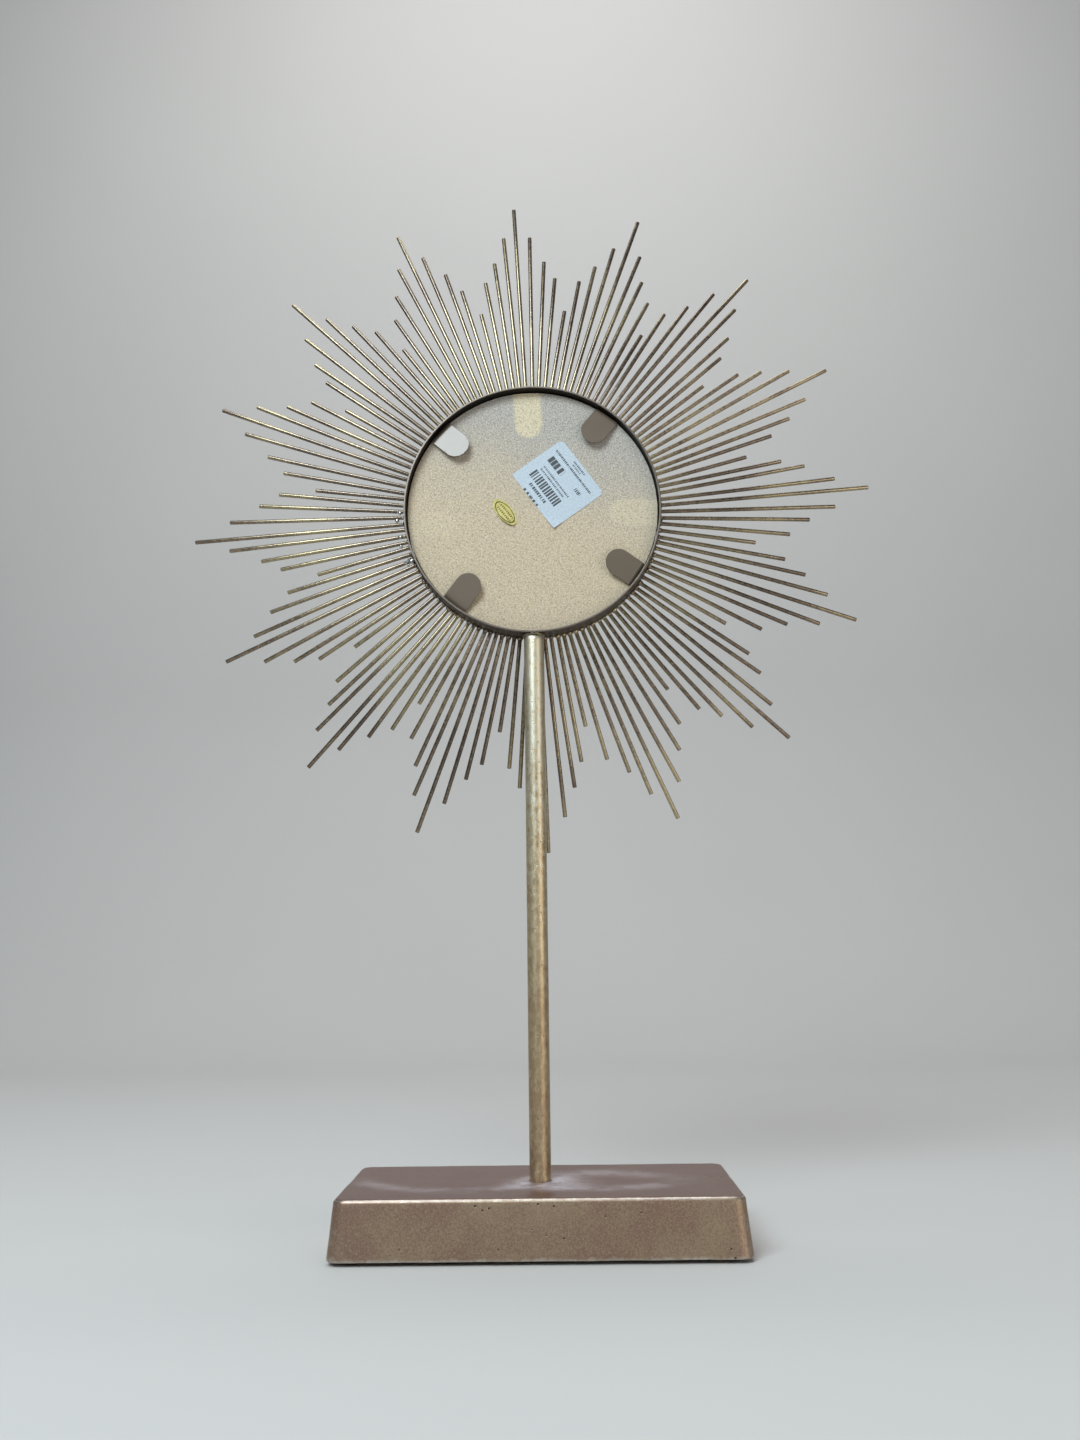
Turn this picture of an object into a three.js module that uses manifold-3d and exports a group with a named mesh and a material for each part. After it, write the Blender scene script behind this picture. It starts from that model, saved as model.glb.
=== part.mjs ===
// Table-top sunburst mirror on a pedestal, seen here as its separate pieces.
//
// Units are millimetres and +Z is up. The origin is the middle of the footprint, on the table top.
// The mirror faces -Y and the open back of the head faces +Y. The post stands on the Z axis.
//
// Angles round the head are clockwise for a person who looks at its back, from straight up.

import * as THREE from 'three';
import { mergeVertices } from 'three/addons/utils/BufferGeometryUtils.js';
import Module from 'manifold-3d';

const wasm = await Module();
wasm.setup();

// ---------------------------------------------------------------- driving dimensions

// Head: a rolled steel band that holds the mirror, the packing sheet and the backing board
const HEAD_HEIGHT = 421;
const RIM_RADIUS = 78;
const RIM_WALL = 1.2;
const RIM_REAR = 7;
const RIM_DEPTH = 18;
const BEZEL_WIDTH = 3.4;
const BEZEL_THICKNESS = 1.2;
const MIRROR_RADIUS = 76.2;
const MIRROR_THICKNESS = 3;
const SHEET_RADIUS = 75.6;
const SHEET_THICKNESS = 2.4;
const BOARD_THICKNESS = 5;
const LAYER_GAP = 0.1;

// Retaining tabs: flat steel tongues, welded inside the band and bent over the board
const TAB_ANGLES = [38, 124, 219, 312];
const TAB_WIDTH = 16.2;
const TAB_REACH = 22;
const TAB_THICKNESS = 1;
const TAB_RISE = 3.2;
const TAB_FOOT = 1.2;

// Labels glued to the board: places and turns as seen from behind
const LABEL_THICKNESS = 0.25;
const PRICE_LABEL = { right: 15.7, up: 16.5, length: 43, width: 38, corner: 3, turn: -54.5 };
const ORIGIN_LABEL = { right: -16.7, up: -1.1, length: 20, width: 9.4, turn: -52 };

// Sunburst: sixteen points of eight rods, each point cut to five lengths
const POINTS = 16;
const RODS_PER_POINT = 8;
const ROD_RADIUS = 1.25;
const ROD_SIDES = 6;
const ROD_PLANE = -7.6;
const TIP_RADII = [207, 186.5, 170, 157.5, 136.5];
const STAR_TURN = -2.8;
const BEAD_HEIGHT = 1.4;
const BEAD_WIDTH = 3;
const BEAD_END_GAP = 0.15;

// Hand-made irregularity of the rods, in degrees and millimetres
const WANDER = 1;
const WANDER_PHASE = 150;
const ROOT_JITTER = 0.3;
const TIP_JITTER = 0.55;
const LENGTH_JITTER = 1.2;

// Post: round tube, coped to the band and bolted to the base
const POST_RADIUS = 6;
const POST_WALL = 1.2;
const SEAT_DEPTH = 3;
const SEAT_CLEARANCE = 0.3;
const NECK_BEAD = 1.3;
const PLUG_LENGTH = 20;

// Fastener under the base: one hexagon bolt, a spring washer and a wide flat washer
const BOLT_RADIUS = 3;
const BOLT_REACH = 12;
const HEX_ACROSS_FLATS = 10;
const HEX_HEIGHT = 4;
const SPRING_WASHER = { inner: 3.2, outer: 5.6, thickness: 1.6, split: 1.2 };
const FLAT_WASHER = { inner: 3.3, outer: 9, thickness: 1.6 };

// Base: a drafted hollow casting, open underneath, on four felt pads
const BASE_LENGTH = 219;
const BASE_DEPTH = 114;
const BASE_HEIGHT = 30;
const BASE_DRAFT = 3;
const BASE_CORNER = 9;
const BASE_EDGE = 2;
const BASE_WALL = 4.5;
const BOSS_RADIUS = 11;
const BOSS_HEIGHT = 6;
const RIB_WIDTH = 3;
const RIB_HEIGHT = 5;
const PILLAR_RADIUS = 8;
const PILLAR_INSET = 12.5;
const PAD_RADIUS = 6.5;
const PAD_THICKNESS = 2;

// Fineness of round shapes, and the room left between pieces that touch
const RIM_STEPS = 72;
const POST_STEPS = 24;
const SMALL_STEPS = 16;
const GAP = 0.3;

// ---------------------------------------------------------------- derived dimensions

const RIM_INNER = RIM_RADIUS - RIM_WALL;
const RIM_FRONT = RIM_REAR - RIM_DEPTH;
const MIRROR_FRONT = RIM_FRONT + BEZEL_THICKNESS + LAYER_GAP;
const SHEET_FRONT = MIRROR_FRONT + MIRROR_THICKNESS + LAYER_GAP;
const BOARD_FRONT = SHEET_FRONT + SHEET_THICKNESS + LAYER_GAP;
const BOARD_REAR = BOARD_FRONT + BOARD_THICKNESS;
const ROD_PITCH = 360 / (POINTS * RODS_PER_POINT);
const BASE_BOTTOM = PAD_THICKNESS;
const BASE_TOP = BASE_BOTTOM + BASE_HEIGHT;
const CEILING = BASE_TOP - BASE_WALL;
const BOSS_BOTTOM = CEILING - BOSS_HEIGHT;
const POST_BOTTOM = BASE_TOP - SEAT_DEPTH + LAYER_GAP;
const POST_BORE = POST_RADIUS - POST_WALL;

// ---------------------------------------------------------------- finishes

function finish(color, metalness, roughness) {
  return new THREE.MeshStandardMaterial({ color, metalness, roughness });
}

const BRONZE = finish(0x6b5d50, 0.9, 0.4);
const GOLD = finish(0x8f8461, 0.9, 0.38);
const CAST = finish(0x7a6a5c, 0.85, 0.5);
const MIRROR = finish(0xd5dbde, 1, 0.03);
const HARDBOARD = finish(0xb3a385, 0, 0.8);
const CARD = finish(0xa88b62, 0, 0.9);
const PAPER = finish(0xd9dde2, 0, 0.6);
const FOIL = finish(0xc0a73a, 0.7, 0.35);
const FELT = finish(0x26241f, 0, 0.95);
const ZINC = finish(0xa7abb0, 0.9, 0.35);

// ---------------------------------------------------------------- solid modelling helpers

function radians(degrees) {
  return degrees * Math.PI / 180;
}

function bare(geometry) {
  const copy = geometry.clone();
  copy.deleteAttribute('normal');
  copy.deleteAttribute('uv');
  return mergeVertices(copy, 1e-4);
}

function solid(geometry) {
  const closed = bare(geometry);
  const vertProperties = new Float32Array(closed.attributes.position.array);
  const triVerts = new Uint32Array(closed.index.array);
  return new wasm.Manifold(new wasm.Mesh({ numProp: 3, vertProperties, triVerts }));
}

function geometryOf(manifold) {
  const mesh = manifold.getMesh();
  const geometry = new THREE.BufferGeometry();
  geometry.setAttribute('position', new THREE.BufferAttribute(mesh.vertProperties, 3));
  geometry.setIndex(new THREE.BufferAttribute(mesh.triVerts, 1));
  return geometry;
}

function piece(name, geometry, material) {
  const mesh = new THREE.Mesh(geometry, material);
  mesh.name = name;
  return mesh;
}

// A solid of revolution about the local Y axis; points are [radius, y], anticlockwise in the profile
function turned(points, steps) {
  const profile = points.map(([radius, y]) => new THREE.Vector2(radius, y));
  return bare(new THREE.LatheGeometry(profile, steps));
}

function disc(radius, low, high, steps) {
  return turned([[0, low], [radius, low], [radius, high], [0, high]], steps);
}

function ring(inner, outer, low, high, steps) {
  return turned([[inner, low], [outer, low], [outer, high], [inner, high], [inner, low]], steps);
}

function cylinder(radius, low, high, steps, x = 0, y = 0) {
  const geometry = new THREE.CylinderGeometry(radius, radius, high - low, steps);
  geometry.rotateX(Math.PI / 2);
  return geometry.translate(x, y, (low + high) / 2);
}

function box(width, depth, low, high) {
  const geometry = new THREE.BoxGeometry(width, depth, high - low);
  return geometry.translate(0, 0, (low + high) / 2);
}

function roundedRectangle(length, width, corner) {
  const shape = new THREE.Shape();
  const x = length / 2 - corner;
  const y = width / 2 - corner;
  shape.absarc(x, y, corner, 0, Math.PI / 2);
  shape.absarc(-x, y, corner, Math.PI / 2, Math.PI);
  shape.absarc(-x, -y, corner, Math.PI, 3 * Math.PI / 2);
  shape.absarc(x, -y, corner, 3 * Math.PI / 2, 2 * Math.PI);
  shape.closePath();
  return shape;
}

// ---------------------------------------------------------------- head: band and what it holds

function rimBand() {
  return piece('rim_band', ring(RIM_INNER, RIM_RADIUS, RIM_FRONT, RIM_REAR, RIM_STEPS), BRONZE);
}

function frontBezel() {
  const outer = RIM_INNER - GAP;
  const low = RIM_FRONT;
  const high = RIM_FRONT + BEZEL_THICKNESS;
  return piece('front_bezel', ring(outer - BEZEL_WIDTH, outer, low, high, RIM_STEPS), BRONZE);
}

function mirrorGlass() {
  const rear = MIRROR_FRONT + MIRROR_THICKNESS;
  return piece('mirror_glass', disc(MIRROR_RADIUS, MIRROR_FRONT, rear, RIM_STEPS), MIRROR);
}

function packingSheet() {
  const rear = SHEET_FRONT + SHEET_THICKNESS;
  return piece('packing_sheet', disc(SHEET_RADIUS, SHEET_FRONT, rear, RIM_STEPS), CARD);
}

function backingBoard() {
  return piece('backing_board', disc(MIRROR_RADIUS, BOARD_FRONT, BOARD_REAR, RIM_STEPS), HARDBOARD);
}

// Side profile of a tab: a short foot on the band's wall, a bend, then a tongue that rises to its tip
function tabProfile() {
  const wall = RIM_INNER - 2 * GAP;
  const foot = BOARD_REAR + LAYER_GAP;
  const crown = foot + TAB_FOOT + TAB_THICKNESS;
  const tip = wall - TAB_REACH;
  const shape = new THREE.Shape();
  shape.moveTo(wall, foot);
  shape.lineTo(wall, crown - TAB_THICKNESS);
  shape.quadraticCurveTo(wall, crown, wall - TAB_THICKNESS, crown);
  shape.quadraticCurveTo((wall + tip) / 2, crown, tip, crown + TAB_RISE);
  shape.lineTo(tip, crown + TAB_RISE - TAB_THICKNESS);
  shape.quadraticCurveTo((wall + tip) / 2, crown - TAB_THICKNESS, wall - TAB_THICKNESS, crown - TAB_THICKNESS);
  shape.lineTo(wall - TAB_THICKNESS, foot);
  shape.closePath();
  return shape;
}

// Plan of a tab: a tongue with a full round end, pointing down the local -X axis
function tabPlan() {
  const wall = RIM_INNER - GAP;
  const centre = wall - TAB_REACH - GAP + TAB_WIDTH / 2;
  const shape = new THREE.Shape();
  shape.moveTo(wall + GAP, -TAB_WIDTH / 2);
  shape.lineTo(wall + GAP, TAB_WIDTH / 2);
  shape.lineTo(centre, TAB_WIDTH / 2);
  shape.absarc(centre, 0, TAB_WIDTH / 2, Math.PI / 2, 3 * Math.PI / 2);
  shape.closePath();
  return shape;
}

function retainerTab(number, angle) {
  const options = { depth: TAB_WIDTH + 2, bevelEnabled: false, curveSegments: 6 };
  const strip = new THREE.ExtrudeGeometry(tabProfile(), options);
  strip.translate(0, 0, -options.depth / 2);
  const plan = new THREE.ExtrudeGeometry(tabPlan(), { depth: RIM_DEPTH, bevelEnabled: false, curveSegments: 12 });
  plan.rotateX(-Math.PI / 2);
  plan.translate(0, BOARD_REAR - 1, 0);
  const tongue = solid(strip).intersect(solid(plan));
  const tab = piece(`retainer_tab_${number}`, geometryOf(tongue), BRONZE);
  tab.rotation.y = radians(angle - 90) + Math.PI;
  return tab;
}

function priceLabel() {
  const { right, up, length, width, corner, turn } = PRICE_LABEL;
  const outline = roundedRectangle(length, width, corner);
  const options = { depth: LABEL_THICKNESS, bevelEnabled: false, curveSegments: 4 };
  const sheet = bare(new THREE.ExtrudeGeometry(outline, options));
  return placeLabel(piece('price_label', sheet, PAPER), right, up, turn);
}

function originLabel() {
  const { right, up, length, width, turn } = ORIGIN_LABEL;
  const outline = new THREE.Shape();
  outline.absellipse(0, 0, length / 2, width / 2, 0, 2 * Math.PI);
  const options = { depth: LABEL_THICKNESS, bevelEnabled: false, curveSegments: 24 };
  const sheet = bare(new THREE.ExtrudeGeometry(outline, options));
  return placeLabel(piece('origin_label', sheet, FOIL), right, up, turn);
}

// Labels are drawn facing local +Z, then stood on the board to face +Y, with "right" towards -X
function placeLabel(label, right, up, turn) {
  const across = new THREE.Vector3(-1, 0, 0);
  const upward = new THREE.Vector3(0, 0, 1);
  const outward = new THREE.Vector3(0, 1, 0);
  label.applyMatrix4(new THREE.Matrix4().makeBasis(across, upward, outward));
  label.rotateZ(radians(turn));
  label.position.set(-right, BOARD_REAR + LAYER_GAP, up);
  return label;
}

// ---------------------------------------------------------------- sunburst

// Repeatable irregularity between -1 and 1 for one rod
function irregular(rod, kind) {
  const value = Math.sin(rod * 12.9898 + kind * 78.233) * 43758.5453;
  return 2 * (value - Math.floor(value)) - 1;
}

function aroundHead(radius, angle, y) {
  const turn = radians(angle);
  return new THREE.Vector3(-radius * Math.sin(turn), y, radius * Math.cos(turn));
}

// The angle of a place counted in rods, with the slow drift of spacing round the star
function starAngle(place) {
  const nominal = place * ROD_PITCH + STAR_TURN;
  return nominal + WANDER * Math.cos(2 * radians(nominal - WANDER_PHASE));
}

// One rod of the star; step 0 is the longest of its point
function rodLayout(index, step) {
  const rod = (index + POINTS * RODS_PER_POINT) % (POINTS * RODS_PER_POINT);
  const root = starAngle(index) + ROOT_JITTER * irregular(rod, 1);
  const tip = starAngle(index) + TIP_JITTER * irregular(rod, 2);
  const reach = TIP_RADII[Math.abs(step)] + LENGTH_JITTER * irregular(rod, 3);
  return { root, tip, reach };
}

function rodSolid({ root, tip, reach }) {
  const start = aroundHead(RIM_RADIUS + GAP + BEAD_HEIGHT / 4, root, ROD_PLANE);
  const end = aroundHead(reach, tip, ROD_PLANE);
  const along = end.clone().sub(start);
  const geometry = new THREE.CylinderGeometry(ROD_RADIUS, ROD_RADIUS, along.length(), ROD_SIDES);
  const turn = new THREE.Quaternion().setFromUnitVectors(new THREE.Vector3(0, 1, 0), along.clone().normalize());
  geometry.applyQuaternion(turn);
  const middle = start.add(end).multiplyScalar(0.5);
  return solid(geometry.translate(middle.x, middle.y, middle.z));
}

// The weld run that ties the roots of the rods between two places of the star together
function rootBead(first, last) {
  const inner = RIM_RADIUS + GAP;
  const from = Math.PI / 2 + radians(starAngle(first - 0.5) + BEAD_END_GAP);
  const to = Math.PI / 2 + radians(starAngle(last + 0.5) - BEAD_END_GAP);
  const shape = new THREE.Shape();
  shape.absarc(0, 0, inner + BEAD_HEIGHT, from, to, false);
  shape.absarc(0, 0, inner, to, from, true);
  shape.closePath();
  const options = { depth: BEAD_WIDTH, bevelEnabled: false, curveSegments: RODS_PER_POINT };
  const strip = new THREE.ExtrudeGeometry(shape, options);
  strip.rotateX(Math.PI / 2);
  return solid(strip.translate(0, ROD_PLANE + BEAD_WIDTH / 2, 0));
}

function rayFan(number) {
  const centre = (number - 1) * RODS_PER_POINT;
  const firstStep = 1 - RODS_PER_POINT / 2;
  const lastStep = RODS_PER_POINT / 2;
  let fan = rootBead(centre + firstStep, centre + lastStep);
  for (let step = firstStep; step <= lastStep; step += 1) {
    fan = fan.add(rodSolid(rodLayout(centre + step, step)));
  }
  return piece(`ray_fan_${String(number).padStart(2, '0')}`, geometryOf(fan), BRONZE);
}

// ---------------------------------------------------------------- post and its fastener

function rimCutter() {
  const cutter = disc(RIM_RADIUS + GAP, -RIM_DEPTH, RIM_DEPTH, RIM_STEPS);
  return solid(cutter.translate(0, 0, HEAD_HEIGHT));
}

function postTube() {
  const top = HEAD_HEIGHT - RIM_RADIUS + POST_RADIUS;
  const tube = solid(cylinder(POST_RADIUS, POST_BOTTOM, top, POST_STEPS))
    .subtract(solid(cylinder(POST_BORE, POST_BOTTOM - 1, top + 1, POST_STEPS)))
    .subtract(rimCutter());
  return piece('post_tube', geometryOf(tube), GOLD);
}

// The fillet of weld round the sides and the back of the post's top end
function neckWeld() {
  const crown = HEAD_HEIGHT - RIM_RADIUS - GAP;
  const inner = POST_RADIUS + GAP;
  const fillet = ring(inner, inner + NECK_BEAD, -2 * NECK_BEAD, NECK_BEAD, POST_STEPS);
  fillet.rotateX(Math.PI / 2).translate(0, 0, crown);
  const rodSide = solid(box(4 * POST_RADIUS, POST_RADIUS, crown - POST_RADIUS, crown + POST_RADIUS)
    .translate(0, -POST_RADIUS - POST_RADIUS / 2 + GAP, 0));
  const bead = solid(fillet).subtract(rimCutter()).subtract(rodSide);
  return piece('neck_weld', geometryOf(bead), BRONZE);
}

function postPlug() {
  const top = POST_BOTTOM + PLUG_LENGTH;
  const plug = solid(cylinder(POST_BORE - GAP, POST_BOTTOM, top, SMALL_STEPS))
    .subtract(solid(cylinder(BOLT_RADIUS + GAP / 2, POST_BOTTOM - 1, top + 1, SMALL_STEPS)));
  return piece('post_plug', geometryOf(plug), ZINC);
}

function washer(name, size, top) {
  const blank = solid(cylinder(size.outer, top - size.thickness, top, SMALL_STEPS));
  const hole = solid(cylinder(size.inner, top - size.thickness - 1, top + 1, SMALL_STEPS));
  return piece(name, geometryOf(blank.subtract(hole)), ZINC);
}

// A spring washer is a ring cut through on one side
function springWasher(top) {
  const { thickness, split, outer } = SPRING_WASHER;
  const whole = washer('spring_washer', SPRING_WASHER, top);
  const slot = box(split, outer, top - thickness - 1, top + 1).translate(0, outer / 2 + 1, 0);
  whole.geometry = geometryOf(solid(whole.geometry).subtract(solid(slot)));
  return whole;
}

function clampBolt(seat) {
  const corner = HEX_ACROSS_FLATS / 2 / Math.cos(Math.PI / 6);
  const shankTop = POST_BOTTOM + BOLT_REACH;
  const head = solid(cylinder(corner, seat - HEX_HEIGHT, seat, 6));
  const shank = solid(cylinder(BOLT_RADIUS, seat - HEX_HEIGHT / 2, shankTop, SMALL_STEPS));
  return piece('clamp_bolt', geometryOf(head.add(shank)), ZINC);
}

function fastener() {
  const group = new THREE.Group();
  const flatTop = BOSS_BOTTOM - LAYER_GAP;
  const springTop = flatTop - FLAT_WASHER.thickness - LAYER_GAP;
  const boltSeat = springTop - SPRING_WASHER.thickness - LAYER_GAP;
  group.add(washer('flat_washer', FLAT_WASHER, flatTop));
  group.add(springWasher(springTop));
  group.add(clampBolt(boltSeat));
  return group;
}

// ---------------------------------------------------------------- base

// A rounded block whose sides lean in by the draft from z = 0 up to its height
function draftedBlock(length, depth, height, corner, edge) {
  const outline = roundedRectangle(length - 2 * edge, depth - 2 * edge, corner - edge);
  const options = { depth: height - 2 * edge, curveSegments: 4, bevelEnabled: edge > 0 };
  Object.assign(options, { bevelThickness: edge, bevelSize: edge, bevelSegments: 2 });
  const block = bare(new THREE.ExtrudeGeometry(outline, options)).translate(0, 0, edge);
  const place = block.attributes.position;
  for (let i = 0; i < place.count; i += 1) {
    const rise = place.getZ(i) / BASE_HEIGHT;
    place.setX(i, place.getX(i) * (1 - rise * BASE_DRAFT / (length / 2)));
    place.setY(i, place.getY(i) * (1 - rise * BASE_DRAFT / (depth / 2)));
  }
  return block;
}

function pillarPlaces() {
  const x = BASE_LENGTH / 2 - PILLAR_INSET;
  const y = BASE_DEPTH / 2 - PILLAR_INSET;
  return [[x, y], [-x, y], [-x, -y], [x, -y]];
}

function baseCasting() {
  const outer = draftedBlock(BASE_LENGTH, BASE_DEPTH, BASE_HEIGHT, BASE_CORNER, BASE_EDGE)
    .translate(0, 0, BASE_BOTTOM);
  const length = BASE_LENGTH - 2 * BASE_WALL;
  const depth = BASE_DEPTH - 2 * BASE_WALL;
  const hollow = draftedBlock(length, depth, BASE_HEIGHT - BASE_WALL + 1, BASE_CORNER - BASE_WALL, 0)
    .translate(0, 0, BASE_BOTTOM - 1);
  let casting = solid(outer).subtract(solid(hollow));
  const inside = solid(outer);
  const ribLow = CEILING - RIB_HEIGHT;
  casting = casting.add(solid(box(length, RIB_WIDTH, ribLow, CEILING + 1)));
  casting = casting.add(solid(box(RIB_WIDTH, depth, ribLow, CEILING + 1)));
  casting = casting.add(solid(cylinder(BOSS_RADIUS, BOSS_BOTTOM, CEILING + 1, POST_STEPS)));
  for (const [x, y] of pillarPlaces()) {
    casting = casting.add(solid(cylinder(PILLAR_RADIUS, BASE_BOTTOM, CEILING + 1, SMALL_STEPS, x, y)));
  }
  const seatRadius = POST_RADIUS + SEAT_CLEARANCE;
  const seat = solid(cylinder(seatRadius, BASE_TOP - SEAT_DEPTH, BASE_TOP + 1, POST_STEPS));
  const hole = solid(cylinder(BOLT_RADIUS + GAP, BOSS_BOTTOM - 1, BASE_TOP + 1, SMALL_STEPS));
  casting = casting.intersect(inside).subtract(seat).subtract(hole);
  return piece('base_casting', geometryOf(casting), CAST);
}

function footPads() {
  const group = new THREE.Group();
  pillarPlaces().forEach(([x, y], index) => {
    const pad = bare(cylinder(PAD_RADIUS, 0, PAD_THICKNESS - LAYER_GAP, SMALL_STEPS, x, y));
    group.add(piece(`foot_pad_${index + 1}`, pad, FELT));
  });
  return group;
}

// ---------------------------------------------------------------- assembly

function head() {
  const group = new THREE.Group();
  group.position.z = HEAD_HEIGHT;
  group.add(rimBand(), frontBezel(), mirrorGlass(), packingSheet(), backingBoard());
  TAB_ANGLES.forEach((angle, index) => group.add(retainerTab(index + 1, angle)));
  group.add(priceLabel(), originLabel());
  for (let number = 1; number <= POINTS; number += 1) {
    group.add(rayFan(number));
  }
  return group;
}

const group = new THREE.Group();
group.add(head());
group.add(postTube(), neckWeld(), postPlug(), fastener());
group.add(baseCasting(), footPads());

export default group;
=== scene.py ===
"""Looks of a table-top sunburst mirror on a pedestal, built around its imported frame.

The axes are the frame's own: +Z is up, the mirror faces -Y and the open back of the head faces +Y. Angles
round the head are clockwise as seen from behind, from straight up. Lengths are in metres, apart from the
fields of classes that say millimetres, and the sizes of the patterns in the finishes.
"""

from __future__ import annotations

import logging
import math
from dataclasses import dataclass, field
from enum import Enum
from typing import Iterable, Sequence, Union

import bmesh
import bpy
from mathutils import Matrix, Vector, noise

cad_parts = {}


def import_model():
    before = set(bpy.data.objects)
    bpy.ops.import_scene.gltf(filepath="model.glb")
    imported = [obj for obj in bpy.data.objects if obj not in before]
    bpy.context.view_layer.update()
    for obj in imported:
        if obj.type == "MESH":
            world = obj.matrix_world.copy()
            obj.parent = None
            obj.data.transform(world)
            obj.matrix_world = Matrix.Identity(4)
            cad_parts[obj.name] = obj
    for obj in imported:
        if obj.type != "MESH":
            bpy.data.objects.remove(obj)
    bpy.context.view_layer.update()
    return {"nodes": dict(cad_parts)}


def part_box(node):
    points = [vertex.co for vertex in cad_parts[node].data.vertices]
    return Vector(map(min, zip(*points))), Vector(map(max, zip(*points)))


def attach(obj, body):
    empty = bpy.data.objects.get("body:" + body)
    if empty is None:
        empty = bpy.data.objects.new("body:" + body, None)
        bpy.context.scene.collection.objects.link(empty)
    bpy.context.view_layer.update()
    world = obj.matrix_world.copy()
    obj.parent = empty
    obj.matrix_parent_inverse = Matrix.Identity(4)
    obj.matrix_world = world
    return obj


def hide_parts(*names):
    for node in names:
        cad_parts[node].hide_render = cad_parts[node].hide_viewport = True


LOG = logging.getLogger("sunburst")
MM = 0.001
ROOT = "root"
HEAD_HEIGHT_MM = 421.0
QUARTER_TURN = math.pi / 2
Triple = tuple[float, float, float]
Colour = Triple


# ------------------------------------------------------------------ shader maths


class Value:
    """A number that varies over a surface, with the usual operators as Math nodes."""

    def __init__(self, surface: "Surface", socket: bpy.types.NodeSocket) -> None:
        """Wraps one output socket of a surface's nodes."""
        self.surface = surface
        self.socket = socket

    def _math(self, operation: str, *terms: Union["Value", float]) -> "Value":
        """The result of a Math node on these terms."""
        made = self.surface.node("ShaderNodeMath", {"operation": operation}, dict(enumerate(terms)))
        return Value(self.surface, made.outputs[0])

    def __add__(self, other: Union["Value", float]) -> "Value":
        """self + other."""
        return self._math("ADD", self, other)

    def __sub__(self, other: Union["Value", float]) -> "Value":
        """self - other."""
        return self._math("SUBTRACT", self, other)

    def __rsub__(self, other: float) -> "Value":
        """other - self."""
        return self._math("SUBTRACT", other, self)

    def __mul__(self, other: Union["Value", float]) -> "Value":
        """self * other."""
        return self._math("MULTIPLY", self, other)

    def __truediv__(self, other: Union["Value", float]) -> "Value":
        """self / other."""
        return self._math("DIVIDE", self, other)

    def __pow__(self, other: float) -> "Value":
        """self ** other."""
        return self._math("POWER", self, other)

    def __abs__(self) -> "Value":
        """The size of self."""
        return self._math("ABSOLUTE", self)

    def __lt__(self, other: Union["Value", float]) -> "Value":
        """1 where self is below other, else 0."""
        return self._math("LESS_THAN", self, other)

    def __gt__(self, other: Union["Value", float]) -> "Value":
        """1 where self is above other, else 0."""
        return self._math("GREATER_THAN", self, other)

    __radd__ = __add__
    __rmul__ = __mul__

    def maximum(self, other: Union["Value", float]) -> "Value":
        """The larger of self and other."""
        return self._math("MAXIMUM", self, other)

    def wave(self) -> "Value":
        """The sine of self."""
        return self._math("SINE", self)

    def reach(self, other: "Value") -> "Value":
        """The distance from zero of the point at self and other."""
        return (self * self + other * other) ** 0.5

    def ramp(self, start: float, end: float) -> "Value":
        """A smooth step.

        Args:
            start: where the step is still 0.
            end: where it has reached 1; below start for a falling step.

        Returns:
            A value from 0 to 1.
        """
        inputs = {"Value": self, "From Min": min(start, end), "From Max": max(start, end),
                  "To Min": float(start > end), "To Max": float(start < end)}
        made = self.surface.node("ShaderNodeMapRange", {"interpolation_type": "SMOOTHSTEP"}, inputs)
        return Value(self.surface, made.outputs["Result"])


Number = Union[Value, float]


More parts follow.
